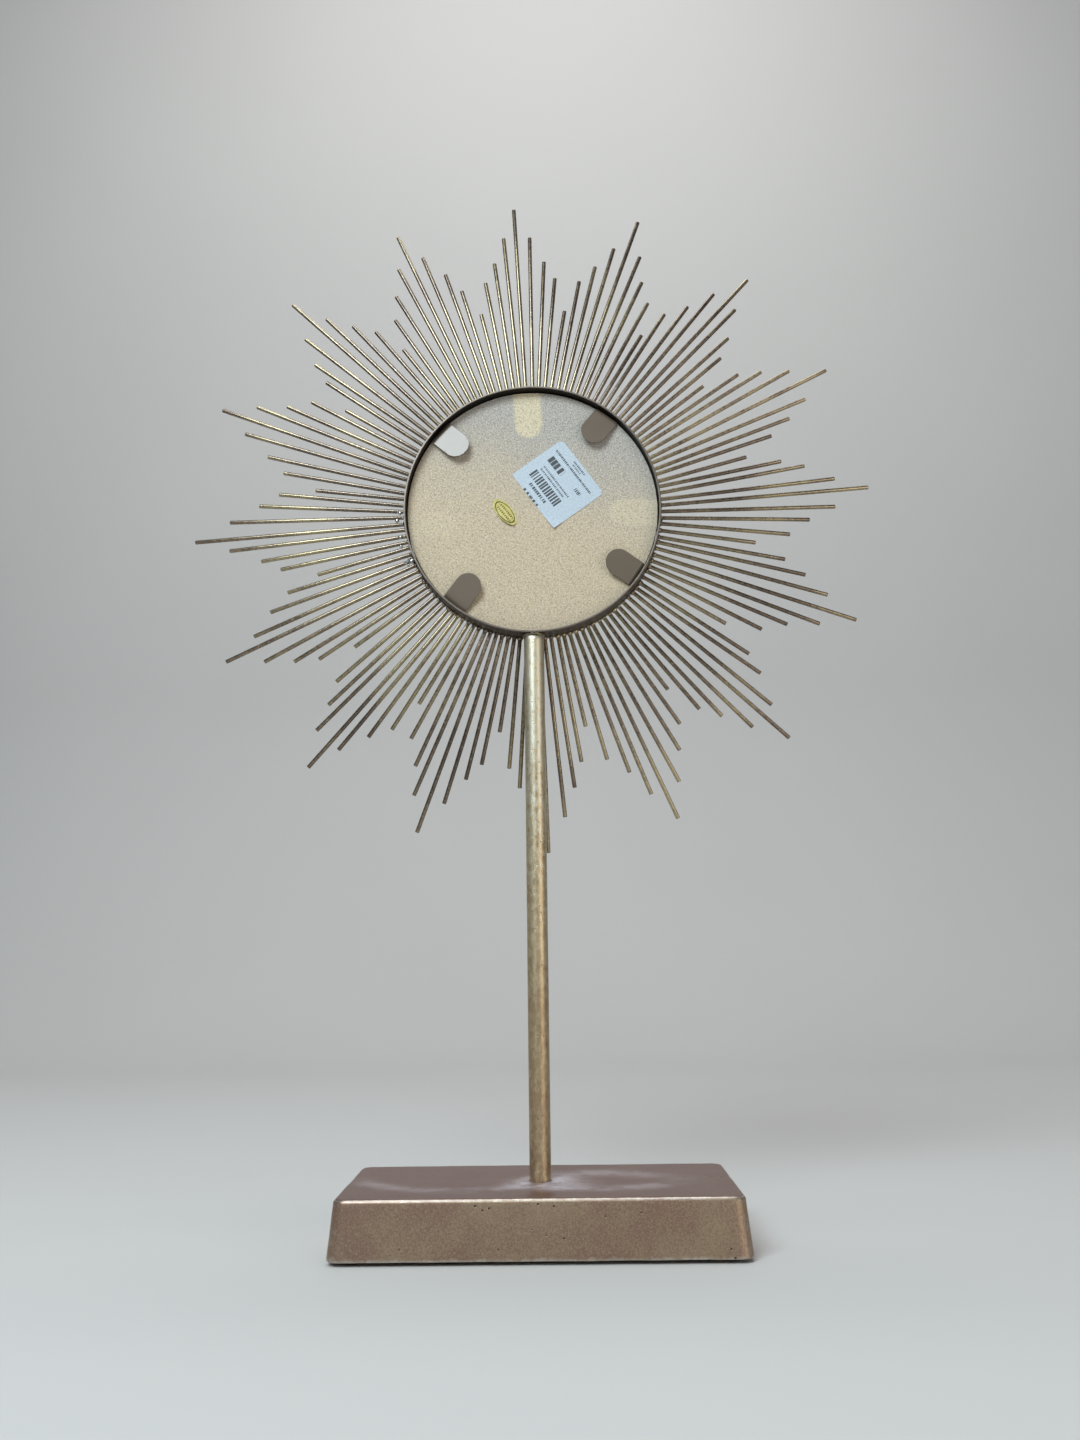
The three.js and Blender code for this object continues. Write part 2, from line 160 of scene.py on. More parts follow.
class Surface:
    """One material under construction: a Principled shader and the nodes that feed it."""

    def __init__(self, name: str) -> None:
        """Starts a material with its coordinates ready.

        Args:
            name: the material's name.
        """
        self.material = bpy.data.materials.new(name)
        self.material.use_nodes = True
        self.shader = self.material.node_tree.nodes["Principled BSDF"]
        coordinates = self.node("ShaderNodeTexCoord", {}, {})
        self.place = coordinates.outputs["Object"]
        self.sheet = coordinates.outputs["UV"]

    def _give(self, slot: bpy.types.NodeSocket, given: object) -> None:
        """Links or sets one socket.

        Args:
            slot: the socket.
            given: a value or a socket to link, or a number, colour or vector to set.
        """
        source = given.socket if isinstance(given, Value) else given
        if isinstance(source, bpy.types.NodeSocket):
            self.material.node_tree.links.new(source, slot)
        else:
            slot.default_value = (*source, 1.0) if slot.type == "RGBA" else source

    def node(self, kind: str, settings: dict[str, object],
             inputs: dict[Union[str, int], object]) -> bpy.types.Node:
        """Adds any node.

        Args:
            kind: the node's type.
            settings: its properties, set first.
            inputs: its sockets, by name or number, with values, sockets, numbers, colours or vectors.

        Returns:
            The node.
        """
        made = self.material.node_tree.nodes.new(kind)
        for key, setting in settings.items():
            setattr(made, key, setting)
        for key, given in inputs.items():
            self._give(made.inputs[key], given)
        return made

    def _axis(self, letter: str, source: bpy.types.NodeSocket) -> Value:
        """One coordinate of a vector."""
        return Value(self, self.node("ShaderNodeSeparateXYZ", {}, {"Vector": source}).outputs[letter])

    def mm(self, letter: str) -> Value:
        """One coordinate of the place on the piece, in millimetres."""
        return self._axis(letter, self.place) / MM

    def drawn(self, letter: str) -> Value:
        """One coordinate of the piece's own flat drawing."""
        return self._axis(letter, self.sheet)

    def attribute(self, name: str) -> Value:
        """A number stored on the mesh."""
        return Value(self, self.node("ShaderNodeAttribute", {"attribute_name": name}, {}).outputs["Fac"])

    def noise(self, size: float, detail: float = 3.0, rough: float = 0.55, warp: float = 0.0,
              stretch: Triple = (1.0, 1.0, 1.0)) -> Value:
        """Cloudy noise from 0 to 1.

        Args:
            size: the size of its features in millimetres.
            detail: octaves of finer noise.
            rough: how strong those are.
            warp: distortion.
            stretch: the features' length along each axis.

        Returns:
            The noise.
        """
        scale = (1 / stretch[0], 1 / stretch[1], 1 / stretch[2])
        mapping = self.node("ShaderNodeMapping", {}, {"Vector": self.place, "Scale": scale})
        inputs = {"Vector": mapping.outputs["Vector"], "Scale": 1 / (size * MM), "Detail": detail,
                  "Roughness": rough, "Distortion": warp}
        return Value(self, self.node("ShaderNodeTexNoise", {}, inputs).outputs["Fac"])

    def cells(self, size: float) -> Value:
        """Distance to scattered points, in units of the cell size, for flecks and pits."""
        inputs = {"Vector": self.place, "Scale": 1 / (size * MM)}
        return Value(self, self.node("ShaderNodeTexVoronoi", {"feature": "F1"}, inputs).outputs["Distance"])

    def mix(self, share: Number, first: object, second: object) -> bpy.types.NodeSocket:
        """Mixes two colours.

        Args:
            share: 0 for the first, 1 for the second.
            first: a colour or a colour socket.
            second: a colour or a colour socket.

        Returns:
            The mixed colour's socket.
        """
        made = self.node("ShaderNodeMix", {"data_type": "RGBA"}, {0: share, 6: first, 7: second})
        return made.outputs[2]

    def bump(self, height: Value, depth: float, strength: float = 1.0) -> None:
        """Feeds the normal from a height.

        Args:
            height: the height, from 0 to 1.
            depth: what 1 stands for, in millimetres.
            strength: how much of the effect is kept.
        """
        inputs = {"Height": height, "Distance": depth * MM, "Strength": strength}
        self.feed(Normal=self.node("ShaderNodeBump", {}, inputs).outputs["Normal"])

    def feed(self, **inputs: object) -> None:
        """Sets or links the shader's sockets; an underscore in a name stands for a space."""
        for key, given in inputs.items():
            self._give(self.shader.inputs[key.replace("_", " ")], given)


# ------------------------------------------------------------------ finishes


@dataclass(frozen=True)
class Finish:
    """Something that a piece can be dressed in."""

    name: str = "finish"

    def make(self) -> bpy.types.Material:
        """Builds the material.

        Returns:
            The material.
        """
        surface = Surface(self.name)
        self.coat(surface)
        return surface.material

    def coat(self, surface: Surface) -> None:
        """Adds the finish's own nodes to a material under construction; each finish has its own way."""
        raise NotImplementedError(self.name)


@dataclass(frozen=True)
class BronzePaint(Finish):
    """Dark bronze paint on welded steel, with a soft gold drift and small rubbed flecks."""

    name: str = "bronze_paint"
    dark: Colour = (0.100, 0.070, 0.046)
    warm: Colour = (0.290, 0.212, 0.140)
    gold: Colour = (0.44, 0.37, 0.20)
    rubbed: Colour = (0.82, 0.77, 0.68)
    flecks: float = 0.26
    roughness: float = 0.22

    def coat(self, surface: Surface) -> None:
        """Adds the drift, the mottle and the flecks under a clear lacquer.

        Args:
            surface: the material under construction.
        """
        drift = surface.noise(60, 2, 0.5)
        mottle = surface.noise(2.6, 4, 0.65)
        grain = surface.noise(0.7, 2, 0.6)
        flecks = surface.noise(1.3, 3, 0.7).ramp(0.58, 0.70) * self.flecks
        paint = surface.mix((mottle * 0.45 + drift * 0.75).ramp(0.40, 0.84), self.dark, self.warm)
        paint = surface.mix((drift * 0.8 + mottle * 0.2).ramp(0.46, 0.64) * 0.6, paint, self.gold)
        surface.feed(Base_Color=surface.mix(flecks, paint, self.rubbed), Metallic=0.92,
                     Roughness=self.roughness + mottle * 0.12 - flecks * 0.06,
                     Coat_Weight=0.8, Coat_Roughness=0.16)
        surface.bump(grain * 0.6 + mottle * 0.4, 0.07, 0.45)


@dataclass(frozen=True)
class TabPaint(Finish):
    """Even brown-grey lacquered paint on flat sheet steel, with a few small chips."""

    name: str = "tab_paint"
    dark: Colour = (0.138, 0.105, 0.074)
    light: Colour = (0.184, 0.144, 0.106)
    chipped: Colour = (0.05, 0.04, 0.03)
    lacquer: float = 0.44

    def coat(self, surface: Surface) -> None:
        """Adds the paint, with no lacquer where it is chipped.

        Args:
            surface: the material under construction.
        """
        drift = surface.noise(14, 2, 0.5)
        grain = surface.noise(0.8, 3, 0.6)
        chips = surface.cells(3.4).ramp(0.15, 0.08) * surface.noise(7, 2).ramp(0.46, 0.56)
        paint = surface.mix(drift * 0.5 + grain * 0.5, self.dark, self.light)
        surface.feed(Base_Color=surface.mix(chips * 0.6, paint, self.chipped), Metallic=0.1,
                     Roughness=0.30 + grain * 0.12, Coat_Weight=self.lacquer - chips * self.lacquer,
                     Coat_Roughness=0.14)
        surface.bump(grain - chips * 0.5, 0.05, 0.4)


@dataclass(frozen=True)
class RimPaint(Finish):
    """The band's paint: near black inside, as painted shade in the recess, with a thin pale line along its
    rear edge that is worn paint and a painted highlight; in millimetres.
    """

    name: str = "rim_paint"
    painted_shade_inner_wall: Colour = (0.022, 0.017, 0.013)
    dark: Colour = (0.055, 0.040, 0.028)
    warm: Colour = (0.14, 0.105, 0.072)
    worn_and_highlit: Colour = (0.30, 0.25, 0.21)
    rear: float = 7.0
    inside: float = 77.5

    def coat(self, surface: Surface) -> None:
        """Adds the paint, by how far out and how far back a place on the band is.

        Args:
            surface: the material under construction.
        """
        clouds = surface.noise(5, 4, 0.6)
        radius = surface.mm("X").reach(surface.mm("Z") - HEAD_HEIGHT_MM)
        ragged = surface.noise(3.0, 3, 0.6) * 0.5 - 0.25
        # The thin pale line along the rear edge is worn paint and a painted highlight.
        edge = (surface.mm("Y") + ragged).ramp(self.rear - 0.42, self.rear - 0.12)
        outside = surface.mix(clouds.ramp(0.35, 0.7), self.dark, self.warm)
        # Painted shade: the band's inner wall, in the recess above the board, is painted near black.
        paint = surface.mix(radius.ramp(self.inside - 0.3, self.inside), self.painted_shade_inner_wall, outside)
        surface.feed(Base_Color=surface.mix(edge * 0.6, paint, self.worn_and_highlit), Metallic=0.85,
                     Roughness=0.40 - edge * 0.06 + clouds * 0.1)
        surface.bump(surface.noise(0.9, 3, 0.6), 0.08, 0.5)


@dataclass(frozen=True)
class GoldPaint(Finish):
    """Antique gold paint on the post: paler at the neck as a painted highlight, browner towards the foot; in
    millimetres.
    """

    name: str = "gold_paint"
    brown: Colour = (0.40, 0.28, 0.17)
    gold: Colour = (0.66, 0.54, 0.34)
    pale: Colour = (0.74, 0.71, 0.58)
    speck: Colour = (0.09, 0.06, 0.035)
    foot: float = 60.0
    neck: float = 340.0

    def coat(self, surface: Surface) -> None:
        """Adds the mottle and the dark specks, with a painted highlight that grows with the height on the
        post.

        Args:
            surface: the material under construction.
        """
        drift = surface.noise(22, 3, 0.55, stretch=(1, 1, 2.2))
        mottle = surface.noise(2.4, 4, 0.68, stretch=(1, 1, 1.7))
        grain = surface.noise(0.8, 3, 0.65)
        specks = surface.cells(3.6).ramp(0.16, 0.08)
        # Painted highlight: lift makes the paint paler and more golden towards the neck.
        lift = surface.mm("Z").ramp(self.foot, self.neck) * 0.22
        worn_and_highlit = (mottle * 0.55 + drift * 0.35 + lift).ramp(0.34, 0.66)
        pale_mottle_and_painted_highlight = (mottle * 0.5 + grain * 0.3 + lift).ramp(0.50, 0.63) * 0.75
        gilt = surface.mix(pale_mottle_and_painted_highlight, surface.mix(worn_and_highlit, self.brown, self.gold), self.pale)
        surface.feed(Base_Color=surface.mix(specks * 0.5, gilt, self.speck), Metallic=0.92,
                     Roughness=0.30 + mottle * 0.22)
        surface.bump(mottle * 0.6 + grain * 0.4 - specks * 0.4, 0.26, 0.9)


@dataclass(frozen=True)
class DustArc:
    """A wiped arc of dust on the top of the base, in millimetres.

    It bulges the way that facing gives in degrees, and a larger fade makes it shorter.
    """

    along: float
    back: float
    radius: float
    width: float
    strength: float
    facing: float = 90.0
    fade: float = 0.15


@dataclass(frozen=True)
class CastMetal(Finish):
    """Sand-cast base metal: brown-grey patina, a plum tone painted as reflection on the top and in clouds on
    the sides, gold mottle, pits, dust arcs, and worn edges that also carry a painted highlight along the top
    and the corners.
    """

    name: str = "cast_patina"
    patina: Colour = (0.295, 0.186, 0.138)
    painted_reflection_plum: Colour = (0.235, 0.128, 0.110)
    gold: Colour = (0.47, 0.39, 0.24)
    worn_and_highlit: Colour = (0.62, 0.57, 0.50)
    dust: Colour = (0.60, 0.54, 0.57)
    pit: Colour = (0.035, 0.025, 0.018)
    top: float = 32.0
    arcs: tuple[DustArc, ...] = (
        DustArc(-6.0, 10.0, 8.0, 25.0, 0.80, fade=-2.0),
        DustArc(46.0, -34.0, 62.0, 13.0, 0.50),
        DustArc(-34.0, 30.0, 52.0, 17.0, 0.60, facing=-78.0, fade=0.35),
        DustArc(-30.0, -30.0, 58.0, 14.0, 0.55, facing=105.0, fade=0.45),
    )

    def _dust(self, surface: Surface) -> Value:
        """The wiped dust.

        Args:
            surface: the material under construction.

        Returns:
            How thick it lies, from 0 to about 1.
        """
        along = surface.mm("X")
        back = surface.mm("Y")
        ragged = surface.noise(14, 4, 0.65) * 16 - 8
        total: Number = 0.0
        for arc in self.arcs:
            aside = along - arc.along
            behind = back - arc.back
            reach = aside.reach(behind)
            turn = math.radians(arc.facing)
            towards = (aside * math.cos(turn) + behind * math.sin(turn)) / reach
            off = abs(reach + ragged - arc.radius)
            total = off.ramp(arc.width, 0.0) * towards.ramp(arc.fade, arc.fade + 0.6) * arc.strength + total
        return total * surface.noise(20, 4, 0.65).ramp(0.28, 0.54)

    def coat(self, surface: Surface) -> None:
        """Adds the patina, its painted reflection and painted highlight, then what lies on it or has worn
        through it.

        Args:
            surface: the material under construction.
        """
        drift = surface.noise(34, 3, 0.6)
        mottle = surface.noise(1.1, 5, 0.8)
        grain = surface.noise(0.9, 3, 0.7)
        gilt = (mottle * 0.52 + grain * 0.30 + drift * 0.18).ramp(0.42, 0.60)
        # The pale band along the top edge and the vertical corners is worn metal and a painted highlight;
        # along the foot it is chipped metal.
        rubbed = (surface.attribute("edge_wear_and_highlight") + surface.noise(5, 3, 0.6) * 0.7 - 0.55).ramp(0.25, 0.75)
        up = surface.mm("Z").ramp(self.top - 0.9, self.top - 0.2)
        dust = self._dust(surface) * up
        pits = surface.cells(7).ramp(0.12, 0.06) * surface.noise(38, 2).ramp(0.46, 0.58)
        # Painted reflection: the whole top face takes the plum tone.
        body = surface.mix(up, self.patina, self.painted_reflection_plum)
        # Painted reflection: plum clouds on the sides stand for a sheen.
        body = surface.mix(drift.ramp(0.62, 0.38) * 0.30 * (1 - up), body, self.painted_reflection_plum)
        body = surface.mix(gilt * (0.55 - up * 0.38), body, self.gold)
        body = surface.mix(dust * 0.9, body, self.dust)
        body = surface.mix(rubbed, body, self.worn_and_highlit)
        body = surface.mix(pits * 0.8, body, self.pit)
        surface.feed(Base_Color=body, Metallic=0.88 - dust * 0.35,
                     Roughness=0.40 + mottle * 0.12 + dust * 0.2 - rubbed * 0.14 - up * 0.08)
        surface.bump(grain * 0.3 + mottle * 0.4 + drift * 0.4 - pits * 1.2, 0.3, 0.6)


@dataclass(frozen=True)
class Silvering(Finish):
    """Silvered float glass with a very faint haze."""

    name: str = "silvering"
    tint: Colour = (0.86, 0.88, 0.88)
    hazy: Colour = (0.78, 0.80, 0.80)

    def coat(self, surface: Surface) -> None:
        """Adds the silver and its haze.

        Args:
            surface: the material under construction.
        """
        haze = surface.noise(30, 2)
        colour = surface.mix(haze * 0.2, self.tint, self.hazy)
        surface.feed(Base_Color=colour, Metallic=1.0, Roughness=0.015 + haze * 0.02)


@dataclass(frozen=True)
class Hardboard(Finish):
    """Tan fibreboard with speckle, a grey that is overspray and painted sky reflection, and clean patches
    where tabs once lay; in millimetres.
    """

    name: str = "hardboard"
    tan: Colour = (0.545, 0.425, 0.275)
    grey_overspray_and_sky_reflection: Colour = (0.365, 0.340, 0.315)
    bare: Colour = (0.66, 0.555, 0.36)
    dark: Colour = (0.17, 0.13, 0.09)
    pale: Colour = (0.86, 0.80, 0.66)
    patch_width: float = 16.4
    patch_reach: float = 47.0
    patches: tuple[tuple[float, float], ...] = ((-2.0, 0.95), (92.0, 0.5), (262.0, 0.25))

    def _patch(self, surface: Surface, right: Value, up: Value, angle: float) -> Value:
        """A clean tongue-shaped patch.

        Args:
            surface: the material under construction.
            right: the place to the right of the head's centre, as seen from behind.
            up: the place above the head's centre.
            angle: where the patch lies, round the head.

        Returns:
            1 on the patch, 0 off it.
        """
        turn = math.radians(angle)
        along = right * math.sin(turn) + up * math.cos(turn)
        across = right * math.cos(turn) - up * math.sin(turn)
        beyond = (self.patch_reach + self.patch_width / 2 - along).maximum(0.0)
        soft = surface.noise(4, 3, 0.65) * 3.2 - 1.6
        return (across.reach(beyond) + soft).ramp(self.patch_width / 2 + 1.6, self.patch_width / 2 - 1.4)

    def coat(self, surface: Surface) -> None:
        """Adds the board, the grey of overspray and painted sky reflection that fades downwards, the clean
        patches and the fibres.

        Args:
            surface: the material under construction.
        """
        up = surface.mm("Z") - HEAD_HEIGHT_MM
        right = surface.mm("X") * -1
        clouds = surface.noise(34, 3, 0.55)
        speckle = surface.noise(1.15, 4, 0.8, stretch=(1.2, 1, 1))
        fine = surface.noise(0.85, 3, 0.8)
        # The grey towards the top and one side is overspray and a painted sky reflection.
        overspray_and_sky_reflection = (up * 0.013 + right * 0.004 + clouds * 0.4 + 0.05).ramp(0.0, 1.1)
        body = surface.mix(overspray_and_sky_reflection, self.tan, self.grey_overspray_and_sky_reflection)
        for angle, strength in self.patches:
            body = surface.mix(self._patch(surface, right, up, angle) * strength, body, self.bare)
        body = surface.mix(speckle.ramp(0.46, 0.62) * 0.50, body, self.dark)
        body = surface.mix(fine.ramp(0.48, 0.60) * 0.50, body, self.pale)
        surface.feed(Base_Color=body, Roughness=0.62 + fine * 0.12, Metallic=0.0)
        surface.bump(fine * 0.5 + speckle * 0.5, 0.08, 0.7)


@dataclass(frozen=True)
class Card(Finish):
    """Brown corrugated card; the pitch of its flutes is in millimetres."""

    name: str = "card"
    light: Colour = (0.46, 0.33, 0.20)
    shade: Colour = (0.30, 0.21, 0.12)
    pitch: float = 4.5

    def coat(self, surface: Surface) -> None:
        """Adds the flutes and the fibre.

        Args:
            surface: the material under construction.
        """
        flutes = (surface.mm("X") * (2 * math.pi / self.pitch)).wave() * 0.5 + 0.5
        fibre = surface.noise(1.2, 3, 0.7)
        colour = surface.mix(flutes * 0.4 + fibre * 0.4, self.light, self.shade)
        surface.feed(Base_Color=colour, Roughness=0.9)
        surface.bump(flutes * 0.6 + fibre * 0.4, 0.2, 0.5)


@dataclass(frozen=True)
class PrintRow:
    """One row of plain marks on a sticker, in millimetres; ink is the inked share of the row."""

    start: float
    end: float
    up: float
    height: float
    pitch: float
    ink: float = 0.60


@dataclass(frozen=True)
class StickerPaper(Finish):
    """White sticker paper, painted blue-grey as the cool light tints it, with plain bars and rows of dashes
    for print.
    """

    name: str = "sticker_paper"
    # Painted light: the white paper is given the blue-grey tint of the cool light on it.
    paper: Colour = (0.52, 0.59, 0.65)
    shade: Colour = (0.36, 0.42, 0.48)
    ink: Colour = (0.022, 0.024, 0.030)
    rows: tuple[PrintRow, ...] = (
        PrintRow(-15.3, 10.5, -7.7, 6.0, 1.9, 0.62),
        PrintRow(-17.9, 16.7, 12.2, 1.3, 1.1, 0.62),
        PrintRow(-5.5, 5.5, 16.5, 1.1, 1.1),
        PrintRow(-4.2, 3.4, 14.7, 1.0, 1.1),
        PrintRow(-16.1, -3.3, 6.2, 4.8, 3.2, 0.72),
        PrintRow(8.9, 13.9, 6.4, 2.2, 1.2, 0.62),
        PrintRow(-14.2, 10.8, 0.0, 1.1, 1.1),
        PrintRow(-14.2, 9.0, -2.4, 1.1, 1.1),
        PrintRow(-10.4, 5.2, -13.4, 1.9, 1.6, 0.62),
        PrintRow(-9.9, 5.1, -18.3, 1.6, 3.1),
    )

    def _row(self, along: Value, up: Value, wander: Value, row: PrintRow) -> Value:
        """The ink of one row.

        Args:
            along: the place along the row.
            up: the place across it.
            wander: irregular spacing of the marks.
            row: the row.

        Returns:
            1 on ink, 0 off it.
        """
        middle = (row.start + row.end) / 2
        inside = (abs(along - middle) < (row.end - row.start) / 2) * (abs(up - row.up) < row.height / 2)
        phase = (along - row.start + (wander - 0.5) * (row.pitch * 1.3)) * (2 * math.pi / row.pitch)
        return inside * (phase.wave() > math.cos(math.pi * row.ink))

    def coat(self, surface: Surface) -> None:
        """Adds the paper and the print.

        Args:
            surface: the material under construction.
        """
        along = surface.drawn("X")
        up = surface.drawn("Y")
        flat = surface.node("ShaderNodeCombineXYZ", {}, {"X": along})
        inputs = {"Vector": flat.outputs["Vector"], "Scale": 0.9, "Detail": 2.0}
        wander = Value(surface, surface.node("ShaderNodeTexNoise", {}, inputs).outputs["Fac"])
        ink: Number = 0.0
        for row in self.rows:
            ink = self._row(along, up, wander, row) + ink
        fibre = surface.noise(1.1, 3, 0.7)
        paper = surface.mix(fibre.ramp(0.42, 0.66) * 0.6, self.paper, self.shade)
        surface.feed(Base_Color=surface.mix(ink * 0.94, paper, self.ink), Roughness=0.42 + fibre * 0.14)
        surface.bump(fibre, 0.04, 0.5)


@dataclass(frozen=True)
class StickerFoil(Finish):
    """Gold foil sticker with a printed border and two rows of marks; in millimetres."""

    name: str = "sticker_foil"
    foil: Colour = (0.47, 0.39, 0.105)
    sheen: Colour = (0.64, 0.56, 0.24)
    ink: Colour = (0.06, 0.045, 0.01)
    half_length: float = 10.0
    half_width: float = 4.7

    def coat(self, surface: Surface) -> None:
        """Adds the foil, its creases and the print.

        Args:
            surface: the material under construction.
        """
        along = surface.drawn("X")
        up = surface.drawn("Y")
        radius = (along / self.half_length).reach(up / self.half_width)
        border = abs(radius - 0.80) < 0.05
        marks = (along * 4.6).wave() > -0.2
        rows = (abs(abs(up) - 1.25) < 0.6) * (radius < 0.66) * marks
        crease = surface.noise(2.2, 3, 0.6)
        foil = surface.mix(crease.ramp(0.4, 0.7), self.foil, self.sheen)
        surface.feed(Base_Color=surface.mix((border + rows) * 0.9, foil, self.ink), Metallic=0.35,
                     Roughness=0.34 + crease * 0.15)
        surface.bump(crease * 0.6 + radius.ramp(0.75, 0.95) * 0.4, 0.12, 0.5)


@dataclass(frozen=True)
class Felt(Finish):
    """Pressed dark felt."""

    name: str = "felt"
    dark: Colour = (0.022, 0.021, 0.019)
    fluff: Colour = (0.10, 0.095, 0.085)

    def coat(self, surface: Surface) -> None:
        """Adds the fibres.

        Args:
            surface: the material under construction.
        """
        fibre = surface.noise(0.5, 4, 0.75, 1.5)
        colour = surface.mix(fibre.ramp(0.45, 0.75), self.dark, self.fluff)
        surface.feed(Base_Color=colour, Roughness=0.95, Sheen_Weight=0.3)
        surface.bump(fibre, 0.25, 0.8)


@dataclass(frozen=True)
class ZincPlate(Finish):
    """Zinc-plated steel with a faint brushed grain."""

    name: str = "zinc_plate"
    light: Colour = (0.62, 0.63, 0.64)
    dull: Colour = (0.34, 0.34, 0.33)

    def coat(self, surface: Surface) -> None:
        """Adds the clouded plating and its grain.

        Args:
            surface: the material under construction.
        """
        clouds = surface.noise(4, 4, 0.6).ramp(0.4, 0.75)
        grain = surface.noise(0.6, 2, 0.5, stretch=(1, 1, 5))
        colour = surface.mix(clouds, self.light, self.dull)
        surface.feed(Base_Color=colour, Metallic=1.0, Roughness=0.28 + grain * 0.18)
        surface.bump(grain, 0.04, 0.4)


@dataclass(frozen=True)
class CoveTone(Finish):
    """The plain pale tone of the floor and the backdrop."""

    name: str = "cove_tone"
    tone: Colour = (0.62, 0.61, 0.59)
    shade: Colour = (0.59, 0.58, 0.56)

    def coat(self, surface: Surface) -> None:
        """Adds the tone, very slightly uneven."""
        surface.feed(Base_Color=surface.mix(surface.noise(400, 2), self.tone, self.shade), Roughness=0.85)


# ------------------------------------------------------------------ shaping helpers


class Edge(Enum):
    """How steep a fold must be to stay a crisp edge, in degrees."""

    CRISP = 30.0
    SOFT = 60.0


def about_head(radius: float, angle: float, depth: float, height: float) -> Vector:
    """A place round the head.

    Args:
        radius: from the head's centre.
        angle: clockwise as seen from behind, in degrees.
        depth: along Y.
        height: the head centre's height.

    Returns:
        The place.
    """
    turn = math.radians(angle)
    return Vector((-radius * math.sin(turn), depth, height + radius * math.cos(turn)))


def irregular(index: int, kind: int) -> float:
    """Repeatable irregularity between -1 and 1 for one rod or lump."""
    value = math.sin(index * 12.9898 + kind * 78.233) * 43758.5453
    return 2 * (value - math.floor(value)) - 1


def turned_to(x_way: Triple, y_way: Triple, z_way: Triple) -> Matrix:
    """The turn that sends a drawing's X, Y and Z along three directions."""
    return Matrix((x_way, y_way, z_way)).transposed().to_4x4()


def steep_edges(bm: bmesh.types.BMesh, degrees: float) -> list[bmesh.types.BMEdge]:
    """The edges that fold by more than an angle."""
    limit = math.radians(degrees)
    return [edge for edge in bm.edges if edge.is_manifold and edge.calc_face_angle(0.0) > limit]


def round_edges(bm: bmesh.types.BMesh, edges: Iterable[bmesh.types.BMEdge], width: float,
                segments: int = 2) -> None:
    """Rounds edges.

    Args:
        bm: the mesh.
        edges: which edges.
        width: how far the rounding reaches.
        segments: how many faces it has.
    """
    bmesh.ops.bevel(bm, geom=list(edges), offset=width, segments=segments, profile=0.5, affect="EDGES",
                    material=-1, clamp_overlap=True)


def soften(bm: bmesh.types.BMesh, width: float, segments: int = 2, degrees: float = 45.0) -> None:
    """Rounds every edge that folds by more than an angle.

    Args:
        bm: the mesh.
        width: how far the rounding reaches.
        segments: how many faces it has.
        degrees: the angle.
    """
    round_edges(bm, steep_edges(bm, degrees), width, segments)


def cut_through(bm: bmesh.types.BMesh, place: Sequence[float], normal: Sequence[float]) -> None:
    """Cuts every face that crosses a plane, and keeps both sides.

    Args:
        bm: the mesh.
        place: a point of the plane.
        normal: the plane's direction.
    """
    geom = bm.verts[:] + bm.edges[:] + bm.faces[:]
    bmesh.ops.bisect_plane(bm, geom=geom, plane_co=place, plane_no=normal)


def turned_ring(inner: float, outer: float, low: float, high: float, steps: int) -> bmesh.types.BMesh:
    """A ring about the Y axis, turned from a rectangular section.

    Args:
        inner: inner radius.
        outer: outer radius.
        low: lower end along Y.
        high: upper end along Y.
        steps: how many faces round it.

    Returns:
        The mesh.
    """
    bm = bmesh.new()
    section = ((inner, low), (outer, low), (outer, high), (inner, high))
    corners = [bm.verts.new((radius, y, 0)) for radius, y in section]
    edges = [bm.edges.new((corners[number - 1], corner)) for number, corner in enumerate(corners)]
    bmesh.ops.spin(bm, geom=corners + edges, cent=(0, 0, 0), axis=(0, 1, 0), angle=2 * math.pi, steps=steps,
                   use_merge=True, use_duplicate=False)
    bmesh.ops.remove_doubles(bm, verts=bm.verts, dist=1e-7)
    bmesh.ops.recalc_face_normals(bm, faces=bm.faces)
    return bm


def upright_ring(inner: float, outer: float, low: float, high: float, steps: int,
                 edge: float) -> bmesh.types.BMesh:
    """A ring about the Z axis with softened edges.

    Args:
        inner: inner radius.
        outer: outer radius.
        low: lower end.
        high: upper end.
        steps: how many faces round it.
        edge: width of the edge rounding.

    Returns:
        The mesh.
    """
    bm = turned_ring(inner, outer, low, high, steps)
    soften(bm, edge)
    bmesh.ops.rotate(bm, verts=bm.verts, cent=(0, 0, 0), matrix=Matrix.Rotation(QUARTER_TURN, 3, "X"))
    return bm


def round_plate(radius: float, low: float, high: float, steps: int, edge: float) -> bmesh.types.BMesh:
    """A round plate about the Y axis with softened edges.

    Args:
        radius: its radius.
        low: lower end along Y.
        high: upper end along Y.
        steps: how many faces round it.
        edge: width of the edge rounding.

    Returns:
        The mesh.
    """
    bm = bmesh.new()
    place = Matrix.Translation((0, (low + high) / 2, 0)) @ Matrix.Rotation(QUARTER_TURN, 4, "X")
    bmesh.ops.create_cone(bm, cap_ends=True, cap_tris=False, segments=steps, radius1=radius, radius2=radius,
                          depth=high - low, matrix=place)
    soften(bm, edge, 3)
    return bm


def upright_rod(bm: bmesh.types.BMesh, radius: float, low: float, high: float, steps: int,
                at: tuple[float, float] = (0.0, 0.0)) -> None:
    """Adds an upright solid cylinder.

    Args:
        bm: the mesh that it joins.
        radius: its radius.
        low: its lower end.
        high: its upper end.
        steps: how many faces round it.
        at: where it stands.
    """
    place = Matrix.Translation((*at, (low + high) / 2))
    bmesh.ops.create_cone(bm, cap_ends=True, cap_tris=False, segments=steps, radius1=radius, radius2=radius,
                          depth=high - low, matrix=place)


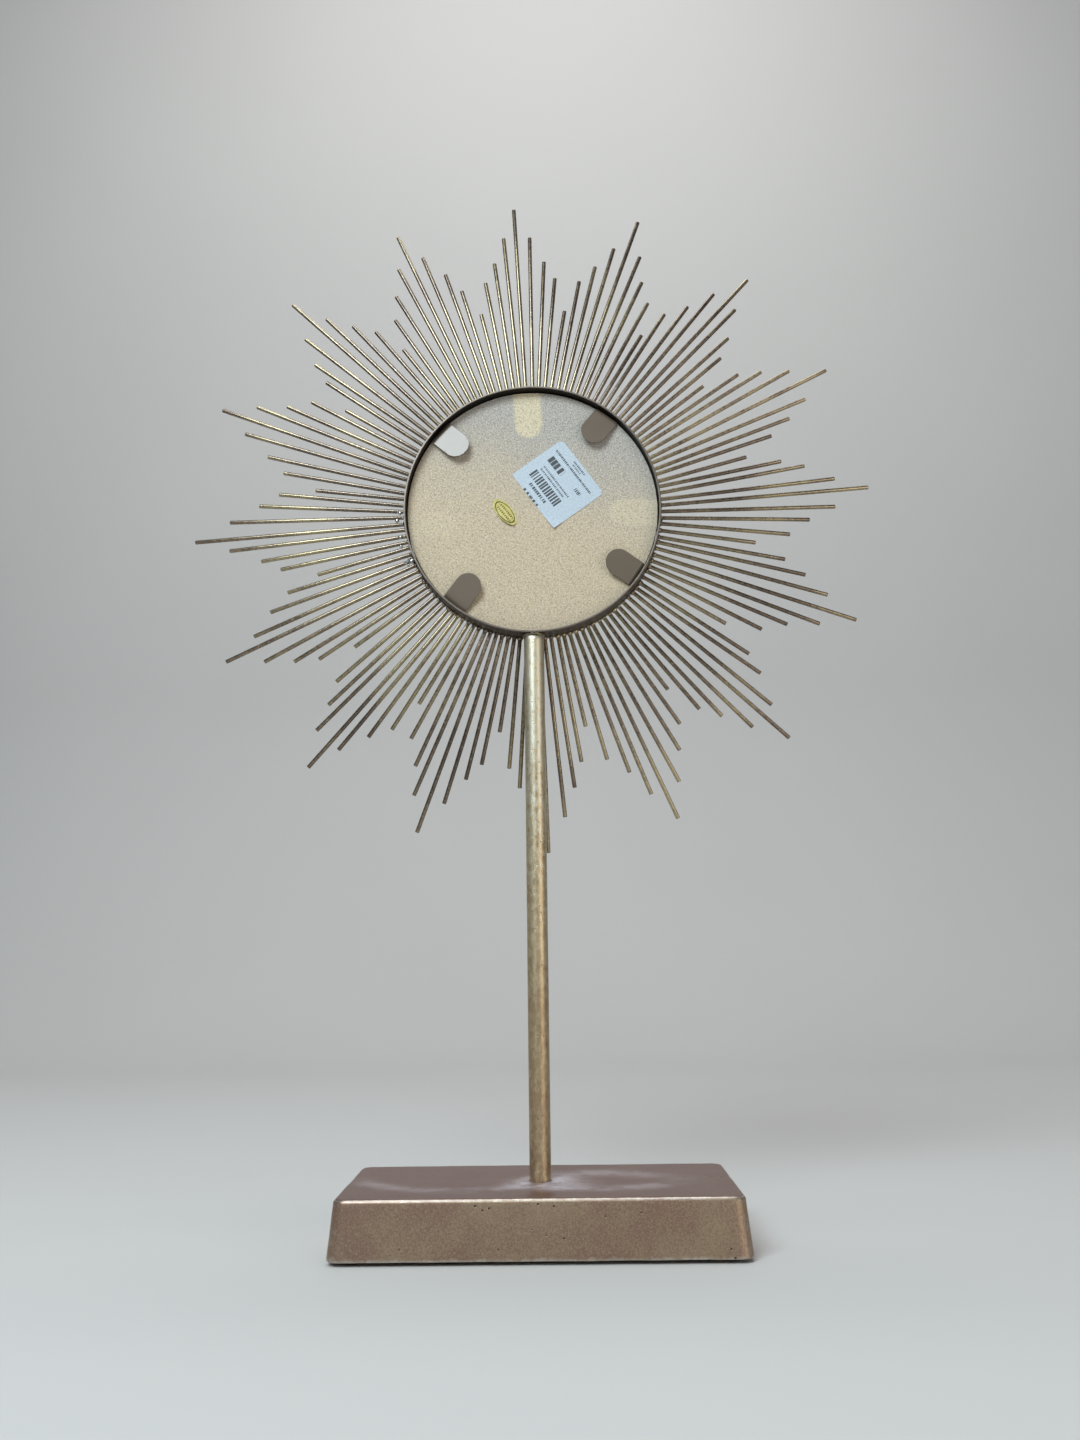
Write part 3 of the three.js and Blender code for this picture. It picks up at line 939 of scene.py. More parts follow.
def block(bm: bmesh.types.BMesh, size: Sequence[float], height: float) -> None:
    """Adds a rectangular block on the Z axis.

    Args:
        bm: the mesh that it joins.
        size: its size along each axis.
        height: its middle's height.
    """
    verts = bmesh.ops.create_cube(bm, size=1.0)["verts"]
    bmesh.ops.scale(bm, vec=size, verts=verts)
    bmesh.ops.translate(bm, vec=(0, 0, height), verts=verts)


def weld_lump(bm: bmesh.types.BMesh, place: Vector, size: float, uneven: float, waves: float,
              seed: int = 0) -> None:
    """Adds one uneven blob of weld.

    Args:
        bm: the mesh that it joins.
        place: its middle.
        size: its radius.
        uneven: how far it departs from a ball.
        waves: how closely its bumps lie, per metre.
        seed: another place in the noise.
    """
    made = bmesh.ops.create_icosphere(bm, subdivisions=2, radius=size, matrix=Matrix.Translation(place))
    for vert in made["verts"]:
        vert.co += (vert.co - place) * uneven * noise.noise(vert.co * waves + Vector((seed, 0, 0)))


def roughen(bm: bmesh.types.BMesh, amount: float, size: float, seed: float = 0.0) -> None:
    """Moves vertices a little along their normals by smooth noise.

    Args:
        bm: the mesh.
        amount: the largest move.
        size: the size of the lumps.
        seed: another place in the noise.
    """
    bm.normal_update()
    shift = Vector((seed, seed * 0.7, -seed))
    moves = [(vert, vert.normal * noise.noise(vert.co / size + shift) * amount) for vert in bm.verts]
    for vert, move in moves:
        vert.co += move


def stand(bm: bmesh.types.BMesh, name: str) -> bpy.types.Object:
    """Puts a mesh in the scene.

    Args:
        bm: the mesh, which is used up.
        name: the object's name.

    Returns:
        The object.
    """
    mesh = bpy.data.meshes.new(name)
    bm.to_mesh(mesh)
    bm.free()
    thing = bpy.data.objects.new(name, mesh)
    bpy.context.scene.collection.objects.link(thing)
    return thing


@dataclass
class Bench:
    """Turns finished meshes into dressed pieces that ride on the frame."""

    nodes: dict[str, bpy.types.Object]
    made: dict[str, bpy.types.Material] = field(default_factory=dict)

    def paint(self, finish: Finish) -> bpy.types.Material:
        """The material of a finish, made once.

        Args:
            finish: the finish.

        Returns:
            The material.
        """
        if finish.name not in self.made:
            self.made[finish.name] = finish.make()
        return self.made[finish.name]

    def dress(self, node: str, finish: Finish) -> None:
        """Gives a CAD node a finish without touching its mesh.

        Args:
            node: the node's name.
            finish: its finish.
        """
        thing = self.nodes[node]
        thing.data.materials.clear()
        thing.data.materials.append(self.paint(finish))
        LOG.info("dressed %s", node)

    def piece(self, bm: bmesh.types.BMesh, name: str, finish: Finish, slot: str,
              replaces: Sequence[str] = (), edge: Edge = Edge.CRISP) -> bpy.types.Object:
        """Makes an object of a mesh, dresses it and lets it ride on the object's body.

        Args:
            bm: the mesh, which is used up.
            name: the piece's name.
            finish: its finish.
            slot: the record's material slot; it is not used.
            replaces: the CAD nodes that it stands for.
            edge: which folds stay crisp.

        Returns:
            The piece.
        """
        for face in bm.faces:
            face.smooth = True
        for line in bm.edges:
            line.smooth = line.calc_face_angle(0.0) < math.radians(edge.value)
        thing = stand(bm, name)
        thing.data.materials.append(self.paint(finish))
        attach(thing, ROOT)
        if replaces:
            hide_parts(*replaces)
        if edge is Edge.CRISP:
            self.even(thing)
        LOG.info("made %s with %d faces", name, len(thing.data.polygons))
        return thing

    def even(self, thing: bpy.types.Object) -> None:
        """Lets flat faces shade flat, with the light turning only in their rounded edges."""
        shading = thing.modifiers.new("even", "WEIGHTED_NORMAL")
        shading.keep_sharp = True


# ------------------------------------------------------------------ head


@dataclass
class Head:
    """The band, what it holds and its tabs; places are read from the frame."""

    bench: Bench
    steps: int = 192
    wall: float = 1.2 * MM
    lip: float = 3.4 * MM
    tab_angles: tuple[float, ...] = (38.0, 124.0, 219.0, 312.0)
    tab_width: float = 16.2 * MM
    tab_reach: float = 22.0 * MM
    tab_rise: float = 3.4 * MM
    tab_thickness: float = 1.0 * MM
    tab_gap: float = 0.5 * MM
    tab_bend: float = 2.2 * MM
    tab_dip: float = 1.4 * MM
    tab_cuts: int = 16
    tab_clearance: float = 0.2 * MM
    centre: float = field(init=False)
    rim_radius: float = field(init=False)
    front: float = field(init=False)
    rear: float = field(init=False)

    def __post_init__(self) -> None:
        """Reads the band's place from the frame."""
        low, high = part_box("rim_band")
        self.centre = (low[2] + high[2]) / 2
        self.rim_radius = (high[0] - low[0]) / 2
        self.front = low[1]
        self.rear = high[1]

    def _raise(self, bm: bmesh.types.BMesh) -> bmesh.types.BMesh:
        """Lifts a mesh made about the origin to the head's centre."""
        bmesh.ops.translate(bm, verts=bm.verts, vec=(0, 0, self.centre))
        return bm

    def build(self) -> None:
        """Builds every piece of the head but the star."""
        self.band()
        self.bezel()
        self.layers()
        for number, angle in enumerate(self.tab_angles, 1):
            self.tab(number, angle)

    def band(self) -> None:
        """The rolled steel band with rounded edges."""
        bm = turned_ring(self.rim_radius - self.wall, self.rim_radius, self.front, self.rear, self.steps)
        soften(bm, 0.35 * MM, 3)
        self.bench.piece(self._raise(bm), "band_shell", RimPaint(), "antique_bronze", ["rim_band"])

    def bezel(self) -> None:
        """The flat lip in front of the mirror."""
        low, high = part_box("front_bezel")
        outer = (high[0] - low[0]) / 2
        bm = turned_ring(outer - self.lip, outer, low[1], high[1], self.steps)
        soften(bm, 0.4 * MM, 3)
        self.bench.piece(self._raise(bm), "bezel_ring", BronzePaint(), "antique_bronze", ["front_bezel"])

    def layers(self) -> None:
        """The mirror, the packing sheet and the backing board."""
        low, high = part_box("mirror_glass")
        radius = (high[0] - low[0]) / 2
        glass = round_plate(radius, low[1], high[1], self.steps, 0.5 * MM)
        self.bench.piece(self._raise(glass), "mirror_plate", Silvering(), "mirror_silver", ["mirror_glass"])
        self.bench.dress("packing_sheet", Card())
        low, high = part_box("backing_board")
        board = round_plate(radius, low[1], high[1], self.steps, 0.4 * MM)
        self.bench.piece(self._raise(board), "board_disc", Hardboard(), "hardboard", ["backing_board"])

    def _tab_outline(self, wall: float, tip: float) -> bmesh.types.BMesh:
        """A flat tab with a round tip, sliced across so that it can bend.

        Args:
            wall: how far from the head's centre its foot is.
            tip: how far its tip is.

        Returns:
            The mesh, its length along X.
        """
        bm = bmesh.new()
        half = self.tab_width / 2
        bmesh.ops.create_circle(bm, cap_ends=True, segments=48, radius=half)
        for vert in bm.verts:
            vert.co.x = wall if vert.co.x > 1e-6 else vert.co.x + tip + half
        bmesh.ops.remove_doubles(bm, verts=bm.verts, dist=1e-6)
        for cut in range(1, self.tab_cuts):
            cut_through(bm, (tip + self.tab_reach * cut / self.tab_cuts, 0, 0), (1, 0, 0))
        return bm

    def tab(self, number: int, angle: float) -> None:
        """One flat steel tab, bent over the board, its round tip standing clear of it.

        Args:
            number: which tab.
            angle: where it stands round the head.
        """
        low, _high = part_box(f"retainer_tab_{number}")
        wall = self.rim_radius - self.wall - self.tab_gap
        bm = self._tab_outline(wall, wall - self.tab_reach)
        foot = low[1] + self.tab_clearance
        for vert in bm.verts:
            inward = max(0.0, wall - vert.co.x)
            dip = max(0.0, 1 - inward / self.tab_bend)
            lift = self.tab_rise * inward / self.tab_reach
            vert.co.z = foot + self.tab_dip + lift - self.tab_dip * dip * dip
        bmesh.ops.solidify(bm, geom=bm.faces[:], thickness=self.tab_thickness)
        bmesh.ops.recalc_face_normals(bm, faces=bm.faces)
        soften(bm, 0.22 * MM, 2, 50)
        spin = Matrix.Rotation(-math.radians(angle), 4, "Y")
        place = spin @ turned_to((0, 0, 1), (1, 0, 0), (0, 1, 0))
        bmesh.ops.transform(bm, matrix=place, verts=bm.verts)
        bmesh.ops.recalc_face_normals(bm, faces=bm.faces)
        node = f"retainer_tab_{number}"
        self.bench.piece(self._raise(bm), f"tab_{number}", TabPaint(), "antique_bronze", [node])


@dataclass
class Sticker:
    """A thin sheet on the board, drawn flat and then stood on it; sizes in millimetres."""

    bench: Bench
    node: str
    piece: str
    slot: str
    finish: Finish
    right: float
    up: float
    length: float
    width: float
    turn: float
    corner: float = 0.0
    curl: float = 0.0
    curl_from: float = 0.72
    thickness: float = 0.15
    cuts: int = 14

    def _outline(self) -> bmesh.types.BMesh:
        """The flat outline: an oval with no corner given, else a sheet with two round corners.

        Returns:
            The mesh.
        """
        bm = bmesh.new()
        if self.corner == 0.0:
            bmesh.ops.create_circle(bm, cap_ends=True, segments=64, radius=0.5)
        else:
            bmesh.ops.create_grid(bm, x_segments=1, y_segments=1, size=0.5)
        bmesh.ops.scale(bm, vec=(self.length, self.width, 1), verts=bm.verts)
        if self.corner > 0.0:
            top = [vert for vert in bm.verts if vert.co.y > 0]
            bmesh.ops.bevel(bm, geom=top, offset=self.corner, segments=8, profile=0.5, affect="VERTICES",
                            material=-1)
        return bm

    def build(self) -> None:
        """Builds the sticker, with its own flat coordinates as its UV map."""
        bm = self._outline()
        for cut in range(1, self.cuts):
            share = cut / self.cuts - 0.5
            cut_through(bm, (self.length * share, 0, 0), (1, 0, 0))
            cut_through(bm, (0, self.width * share, 0), (0, 1, 0))
        layer = bm.loops.layers.uv.new("flat")
        for face in bm.faces:
            for loop in face.loops:
                loop[layer].uv = loop.vert.co.xy
        for vert in bm.verts:
            lifted = max(0.0, vert.co.x / self.length - vert.co.y / self.width - self.curl_from)
            vert.co.z = self.curl * lifted ** 2 + 0.02 * noise.noise(vert.co * 0.12)
        bmesh.ops.recalc_face_normals(bm, faces=bm.faces)
        if bm.faces[0].normal.z < 0:
            bmesh.ops.reverse_faces(bm, faces=bm.faces)
        bmesh.ops.solidify(bm, geom=bm.faces[:], thickness=self.thickness)
        self._place(bm)
        self.bench.piece(bm, self.piece, self.finish, self.slot, [self.node])

    def _place(self, bm: bmesh.types.BMesh) -> None:
        """Turns the drawing, stands it on the board and moves it to its place.

        Args:
            bm: the mesh.
        """
        low, _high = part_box(self.node)
        lowest = min(vert.co.z for vert in bm.verts)
        spin = Matrix.Rotation(math.radians(self.turn), 4, "Z")
        face_out = turned_to((-1, 0, 0), (0, 0, 1), (0, 1, 0))
        scale = Matrix.Scale(MM, 4)
        height = (HEAD_HEIGHT_MM + self.up) * MM
        shift = Matrix.Translation((-self.right * MM, low[1] - lowest * MM, height))
        bmesh.ops.transform(bm, matrix=shift @ face_out @ scale @ spin, verts=bm.verts)


# ------------------------------------------------------------------ star


@dataclass
class Star:
    """Sixteen points of eight rods welded to the band, laid out as the frame's solids; in millimetres."""

    bench: Bench
    head: Head
    points: int = 16
    rods_per_point: int = 8
    rod_radius: float = 1.25
    rod_plane: float = -7.6
    tip_radii: tuple[float, ...] = (207.0, 186.5, 170.0, 157.5, 136.5)
    star_turn: float = -2.8
    wander: float = 1.0
    wander_phase: float = 150.0
    root_jitter: float = 0.3
    tip_jitter: float = 0.55
    length_jitter: float = 1.2
    bow: float = 0.5
    bow_reach: float = 120.0
    bow_waves: float = 9.0
    root_sink: float = 0.1
    tip_edge: float = 0.4
    bead: float = 1.7
    bead_stand: float = 0.4
    bead_jitter: float = 0.18
    spatter_lumps: int = 14
    spatter_angle: float = 260.0
    spatter_spread: float = 14.0

    def _angle(self, place: float) -> float:
        """The angle of a place counted in rods, with the slow drift of spacing round the star."""
        nominal = place * 360 / (self.points * self.rods_per_point) + self.star_turn
        return nominal + self.wander * math.cos(2 * math.radians(nominal - self.wander_phase))

    def _root_angle(self, index: int) -> float:
        """The angle of a rod's root."""
        rod = index % (self.points * self.rods_per_point)
        return self._angle(index) + self.root_jitter * irregular(rod, 1)

    def _about(self, radius: float, angle: float, depth: float) -> Vector:
        """A place round the head, its radius in metres and its depth in millimetres."""
        return about_head(radius, angle, depth * MM, self.head.centre)

    def _rod(self, bm: bmesh.types.BMesh, index: int, step: int) -> None:
        """Adds one rod with a softened tip.

        Args:
            bm: the mesh of its point.
            index: its number round the star.
            step: its place from the longest rod of the point.
        """
        rod = index % (self.points * self.rods_per_point)
        tip_angle = self._angle(index) + self.tip_jitter * irregular(rod, 2)
        reach = self.tip_radii[abs(step)] + self.length_jitter * irregular(rod, 3)
        root = self.head.rim_radius - self.root_sink * MM
        start = self._about(root, self._root_angle(index), self.rod_plane)
        end = self._about(reach * MM, tip_angle, self.rod_plane)
        along = end - start
        turn = along.to_track_quat("Z", "Y").to_matrix().to_4x4()
        radius = self.rod_radius * MM
        made = bmesh.ops.create_cone(bm, cap_ends=True, cap_tris=False, segments=12, radius1=radius,
                                     radius2=radius, depth=along.length,
                                     matrix=Matrix.Translation((start + end) / 2) @ turn)
        tip = {vert for vert in made["verts"] if (vert.co - end).length < 3 * MM}
        round_edges(bm, [edge for edge in bm.edges if set(edge.verts) <= tip], self.tip_edge * MM)

    def _bow(self, bm: bmesh.types.BMesh, number: int) -> None:
        """Bends the rods of a point a little out of line, as hand work leaves them.

        Args:
            bm: the mesh of the point.
            number: which point.
        """
        for vert in bm.verts:
            radius = math.hypot(vert.co.x, vert.co.z - self.head.centre)
            out = max(0.0, (radius - self.head.rim_radius) / (self.bow_reach * MM))
            lean = noise.noise(vert.co.normalized() * self.bow_waves + Vector((0, number, 0)))
            vert.co.y += lean * out * out * self.bow * MM

    def _bead(self, bm: bmesh.types.BMesh, index: int) -> None:
        """Adds the blob of weld at one root.

        Args:
            bm: the mesh of the point.
            index: the rod's number round the star.
        """
        rod = index % (self.points * self.rods_per_point)
        radius = self.head.rim_radius + self.bead_stand * MM
        size = self.bead * (1 + self.bead_jitter * irregular(rod, 4)) * MM
        place = self._about(radius, self._root_angle(index), self.rod_plane)
        weld_lump(bm, place, size, uneven=0.35, waves=900, seed=rod)

    def build(self) -> None:
        """Builds the sixteen points."""
        half = self.rods_per_point // 2
        for number in range(1, self.points + 1):
            bm = bmesh.new()
            middle = (number - 1) * self.rods_per_point
            for step in range(1 - half, half + 1):
                self._rod(bm, middle + step, step)
            self._bow(bm, number)
            for step in range(1 - half, half + 1):
                self._bead(bm, middle + step)
            name = f"star_point_{number:02d}"
            self.bench.piece(bm, name, BronzePaint(), "antique_bronze", [f"ray_fan_{number:02d}"], Edge.SOFT)

    def spatter(self) -> None:
        """The lumps of weld spatter between roots on one side of the band."""
        bm = bmesh.new()
        for lump in range(self.spatter_lumps):
            angle = self.spatter_angle + self.spatter_spread * irregular(lump, 7)
            radius = self.head.rim_radius + (1.5 + 4 * abs(irregular(lump, 8))) * MM
            size = (0.8 + 0.7 * abs(irregular(lump, 9))) * MM
            weld_lump(bm, self._about(radius, angle, self.rod_plane + 1.0), size, uneven=0.5, waves=1100)
        finish = BronzePaint(name="spatter_paint", dark=(0.42, 0.42, 0.41), warm=(0.66, 0.66, 0.64),
                             flecks=0.6)
        self.bench.piece(bm, "weld_spatter", finish, "antique_bronze", (), Edge.SOFT)


# ------------------------------------------------------------------ post and base


@dataclass
class Post:
    """The tube post, its weld and the fastener that holds it to the base."""

    bench: Bench
    head: Head
    radius: float = 6.0 * MM
    wall: float = 1.2 * MM
    bead: float = 1.0 * MM
    bead_sink: float = 0.2 * MM
    bead_wave: float = 0.2 * MM
    shoulder: float = 4.0 * MM
    shoulder_dip: float = 2.6 * MM
    shoulder_cuts: int = 8
    seat_gap: float = 0.15 * MM
    bolt_radius: float = 3.0 * MM
    bolt_head_radius: float = 5.77 * MM
    bolt_head_height: float = 4.0 * MM
    washers: tuple[tuple[str, float, float], ...] = (
        ("flat_washer", 3.3 * MM, 9.0 * MM),
        ("spring_washer", 3.2 * MM, 5.6 * MM),
    )

    def build(self) -> None:
        """Builds the post and its fastener."""
        self.tube()
        self.weld()
        self.fastener()
        self.bench.dress("post_plug", ZincPlate())

    def tube(self) -> None:
        """The tube, its top end coped to the band and rounded off behind."""
        low, _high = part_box("post_tube")
        top = self.head.centre - self.head.rim_radius + self.radius
        bm = upright_ring(self.radius - self.wall, self.radius, low[2], top, 64, 0.25 * MM)
        for cut in range(self.shoulder_cuts):
            level = top - 0.5 * MM - self.shoulder * cut / self.shoulder_cuts
            cut_through(bm, (0, 0, level), (0, 0, 1))
        seat = self.head.rim_radius + self.seat_gap
        for vert in bm.verts:
            near = min(1.0, max(0.0, 1 - (top - vert.co.z) / self.shoulder))
            if vert.co.y > 0:
                vert.co.y -= self.shoulder_dip * (1 - math.sqrt(1 - near * near)) * vert.co.y / self.radius
            if vert.co.z > top - self.shoulder - 1 * MM:
                vert.co.z += self.head.centre - math.sqrt(seat ** 2 - vert.co.x ** 2) - top
        self.bench.piece(bm, "post_shell", GoldPaint(), "antique_gold", ["post_tube"])

    def weld(self) -> None:
        """The fillet of weld round the back and sides of the post's top end."""
        bm = bmesh.new()
        aside = Matrix.Translation((self.radius - self.bead_sink, 0, 0))
        bmesh.ops.create_circle(bm, cap_ends=False, segments=12, radius=self.bead,
                                matrix=aside @ Matrix.Rotation(QUARTER_TURN, 4, "X"))
        bmesh.ops.spin(bm, geom=bm.verts[:] + bm.edges[:], cent=(0, 0, 0), axis=(0, 0, 1), angle=math.pi,
                       steps=40, use_duplicate=False)
        bmesh.ops.holes_fill(bm, edges=[edge for edge in bm.edges if edge.is_boundary], sides=0)
        bmesh.ops.recalc_face_normals(bm, faces=bm.faces)
        base = self.head.centre - self.head.rim_radius - self.bead_sink
        for vert in bm.verts:
            vert.co.z += base + self.bead_wave * noise.noise(vert.co * 500)
        roughen(bm, 0.3 * MM, 1.6 * MM)
        finish = BronzePaint(name="weld_paint", dark=(0.10, 0.085, 0.06), warm=(0.28, 0.24, 0.16))
        self.bench.piece(bm, "neck_fillet", finish, "antique_bronze", ["neck_weld"], Edge.SOFT)

    def fastener(self) -> None:
        """The bolt and its two washers under the base."""
        low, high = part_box("clamp_bolt")
        head_top = low[2] + self.bolt_head_height
        bm = bmesh.new()
        upright_rod(bm, self.bolt_head_radius, low[2], head_top, 6)
        soften(bm, 0.35 * MM, 2, 30)
        upright_rod(bm, self.bolt_radius, head_top - 1 * MM, high[2], 32)
        self.bench.piece(bm, "hex_bolt", ZincPlate(), "zinc_steel", ["clamp_bolt"])
        for node, inner, outer in self.washers:
            low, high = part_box(node)
            ring = upright_ring(inner, outer, low[2], high[2], 48, 0.2 * MM)
            self.bench.piece(ring, f"{node}_ring", ZincPlate(), "zinc_steel", [node])


@dataclass
class Base:
    """The drafted hollow casting and its felt pads; sizes in millimetres."""

    bench: Bench
    length: float = 219.0
    depth: float = 114.0
    height: float = 30.0
    bottom: float = 2.0
    draft: float = 3.0
    corner: float = 7.0
    edge: float = 2.0
    lower_edge: float = 1.1
    wall: float = 4.5
    seat: float = 6.35
    seat_depth: float = 3.0
    boss_radius: float = 11.0
    boss_drop: float = 6.0
    rib: float = 3.0
    rib_depth: float = 6.0
    rib_inset: float = 11.0
    pillar_radius: float = 7.9
    overlap: float = 1.0
    pillar_lift: float = 0.05
    hollow_taper: Triple = (0.975, 0.95, 1.0)
    swell: float = 0.16
    swell_size: float = 17.0
    ripple: float = 0.05
    ripple_size: float = 3.0
    rim_wear_and_highlight_below: float = 0.7
    rim_wear_and_highlight_reach: float = 1.1
    rim_wear_and_highlight_depth: float = 2.6
    worn_foot_reach: float = 5.0
    worn_foot_depth: float = 2.0
    worn_foot_share: float = 0.80
    corner_wear_and_highlight_share: float = 0.5
    grid: tuple[int, int, int] = (54, 28, 8)
    pads: int = 4
    top: float = field(init=False)
    ceiling: float = field(init=False)

    def __post_init__(self) -> None:
        """Works out the heights of the top and of the hollow's ceiling."""
        self.top = self.bottom + self.height
        self.ceiling = self.top - self.wall

    def build(self) -> None:
        """Builds the casting and the pads."""
        self.casting()
        for number in range(1, self.pads + 1):
            self.pad(number)

    def _block(self) -> bmesh.types.BMesh:
        """The drafted block with rounded corners, hollowed from below.

        Returns:
            The mesh.
        """
        bm = bmesh.new()
        block(bm, (self.length, self.depth, self.height), self.bottom + self.height / 2)
        for vert in bm.verts:
            if vert.co.z > self.bottom + 1:
                vert.co.x -= math.copysign(self.draft, vert.co.x)
                vert.co.y -= math.copysign(self.draft, vert.co.y)
        upright = [edge for edge in bm.edges if abs(edge.verts[0].co.z - edge.verts[1].co.z) > 1]
        round_edges(bm, upright, self.corner, 8)
        under = min(bm.faces, key=lambda face: face.calc_center_median().z)
        bmesh.ops.inset_region(bm, faces=[under], thickness=self.wall, use_even_offset=True)
        floor = min(bm.faces, key=lambda face: (round(face.calc_center_median().z, 3), -face.calc_area()))
        lifted = bmesh.ops.extrude_face_region(bm, geom=[floor])
        verts = [item for item in lifted["geom"] if isinstance(item, bmesh.types.BMVert)]
        bmesh.ops.delete(bm, geom=[floor], context="FACES")
        bmesh.ops.translate(bm, verts=verts, vec=(0, 0, self.height - self.wall))
        bmesh.ops.scale(bm, verts=verts, vec=self.hollow_taper)
        bmesh.ops.recalc_face_normals(bm, faces=bm.faces)
        return bm

    def _round(self, bm: bmesh.types.BMesh) -> None:
        """Rounds the top and bottom edges.

        Args:
            bm: the mesh.
        """
        for level, width, segments in ((self.top, self.edge, 4), (self.bottom, self.lower_edge, 3)):
            around = [edge for edge in steep_edges(bm, 50)
                      if all(abs(vert.co.z - level) < 0.1 for vert in edge.verts)]
            round_edges(bm, around, width, segments)

    def _slice(self, bm: bmesh.types.BMesh) -> None:
        """Cuts the faces into a grid, so that they can be a little uneven.

        Args:
            bm: the mesh.
        """
        sizes = (self.length, self.depth, self.height)
        middles = (0.0, 0.0, self.bottom + self.height / 2)
        for axis, (count, size, middle) in enumerate(zip(self.grid, sizes, middles)):
            normal = Vector([float(axis == way) for way in range(3)])
            for cut in range(1, count):
                cut_through(bm, normal * (middle + size * (cut / count - 0.5)), normal)

    def _store_wear_and_highlight(self, bm: bmesh.types.BMesh) -> None:
        """Stores how exposed each vertex is, for worn edges and, along the top edge and the vertical
        corners, a painted highlight: 1 on the top and bottom edges, 0 on the faces.

        Args:
            bm: the mesh, which gains the attribute "wear".
        """
        layer = bm.verts.layers.float.new("edge_wear_and_highlight")
        for vert in bm.verts:
            lean = self.draft * (vert.co.z - self.bottom) / self.height
            short = self.length / 2 - lean - abs(vert.co.x)
            narrow = self.depth / 2 - lean - abs(vert.co.y)
            inside = min(short, narrow)
            # Painted highlight: the band along the top edge and the vertical corners is counted with the
            # worn edges.
            off_rim = abs(self.top - self.rim_wear_and_highlight_below - vert.co.z) / self.rim_wear_and_highlight_reach
            up_foot = (vert.co.z - self.bottom) / self.worn_foot_reach
            on_rim = max(0.0, 1 - off_rim) * (inside < self.rim_wear_and_highlight_depth)
            on_foot = max(0.0, 1 - up_foot) * (inside < self.worn_foot_depth) * self.worn_foot_share
            cornered = max(short, narrow) < self.corner * 0.7 and inside < self.corner * 0.4
            vert[layer] = max(on_rim, on_foot, self.corner_wear_and_highlight_share * cornered)

    def _inside(self, bm: bmesh.types.BMesh) -> None:
        """Adds the boss, the ribs and the corner pillars under the ceiling.

        Args:
            bm: the mesh.
        """
        upright_rod(bm, self.boss_radius, self.ceiling - self.boss_drop, self.ceiling + self.overlap, 48)
        for size in ((self.length - self.rib_inset, self.rib), (self.rib, self.depth - self.rib_inset)):
            block(bm, (*size, self.rib_depth), self.ceiling + self.overlap - self.rib_depth / 2)
        for number in range(1, self.pads + 1):
            low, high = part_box(f"foot_pad_{number}")
            at = ((low[0] + high[0]) / 2 / MM, (low[1] + high[1]) / 2 / MM)
            foot = self.bottom + self.pillar_lift
            upright_rod(bm, self.pillar_radius, foot, self.ceiling + self.overlap, 32, at)

    def casting(self) -> None:
        """The casting, with the round seat of the post cut in its top."""
        bm = self._block()
        self._round(bm)
        self._slice(bm)
        roughen(bm, self.swell, self.swell_size)
        roughen(bm, self.ripple, self.ripple_size, seed=5.0)
        self._store_wear_and_highlight(bm)
        self._inside(bm)
        bmesh.ops.scale(bm, vec=(MM, MM, MM), verts=bm.verts)
        self._cut_seat(self.bench.piece(bm, "cast_shell", CastMetal(), "cast_base", ["base_casting"]))

    def _cut_seat(self, thing: bpy.types.Object) -> None:
        """Sinks the post's seat into the top of the casting.

        Args:
            thing: the casting.
        """
        bm = bmesh.new()
        upright_rod(bm, self.seat * MM, (self.top - self.seat_depth) * MM, (self.top + 2) * MM, 48)
        cutter = stand(bm, "seat_cutter")
        thing.modifiers.clear()
        cut = thing.modifiers.new("seat", "BOOLEAN")
        cut.object = cutter
        cut.operation = "DIFFERENCE"
        cut.solver = "EXACT"
        bpy.context.view_layer.update()
        done = bpy.data.meshes.new_from_object(thing.evaluated_get(bpy.context.evaluated_depsgraph_get()))
        thing.modifiers.clear()
        thing.data = done
        bpy.data.objects.remove(cutter)
        self.bench.even(thing)

    def pad(self, number: int) -> None:
        """One round felt pad.

        Args:
            number: which pad.
        """
        low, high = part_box(f"foot_pad_{number}")
        bm = bmesh.new()
        at = ((low[0] + high[0]) / 2, (low[1] + high[1]) / 2)
        upright_rod(bm, (high[0] - low[0]) / 2, low[2], high[2], 40, at)
        soften(bm, 0.4 * MM)
        self.bench.piece(bm, f"felt_pad_{number}", Felt(), "pad_felt", [f"foot_pad_{number}"])


# ------------------------------------------------------------------ stage


@dataclass(frozen=True)
class Lamp:
    """One soft round light: where it stands, where it points, its size, power and colour."""

    name: str
    place: Triple
    aim: Triple
    size: float
    power: float
    colour: Colour = (1.0, 1.0, 1.0)


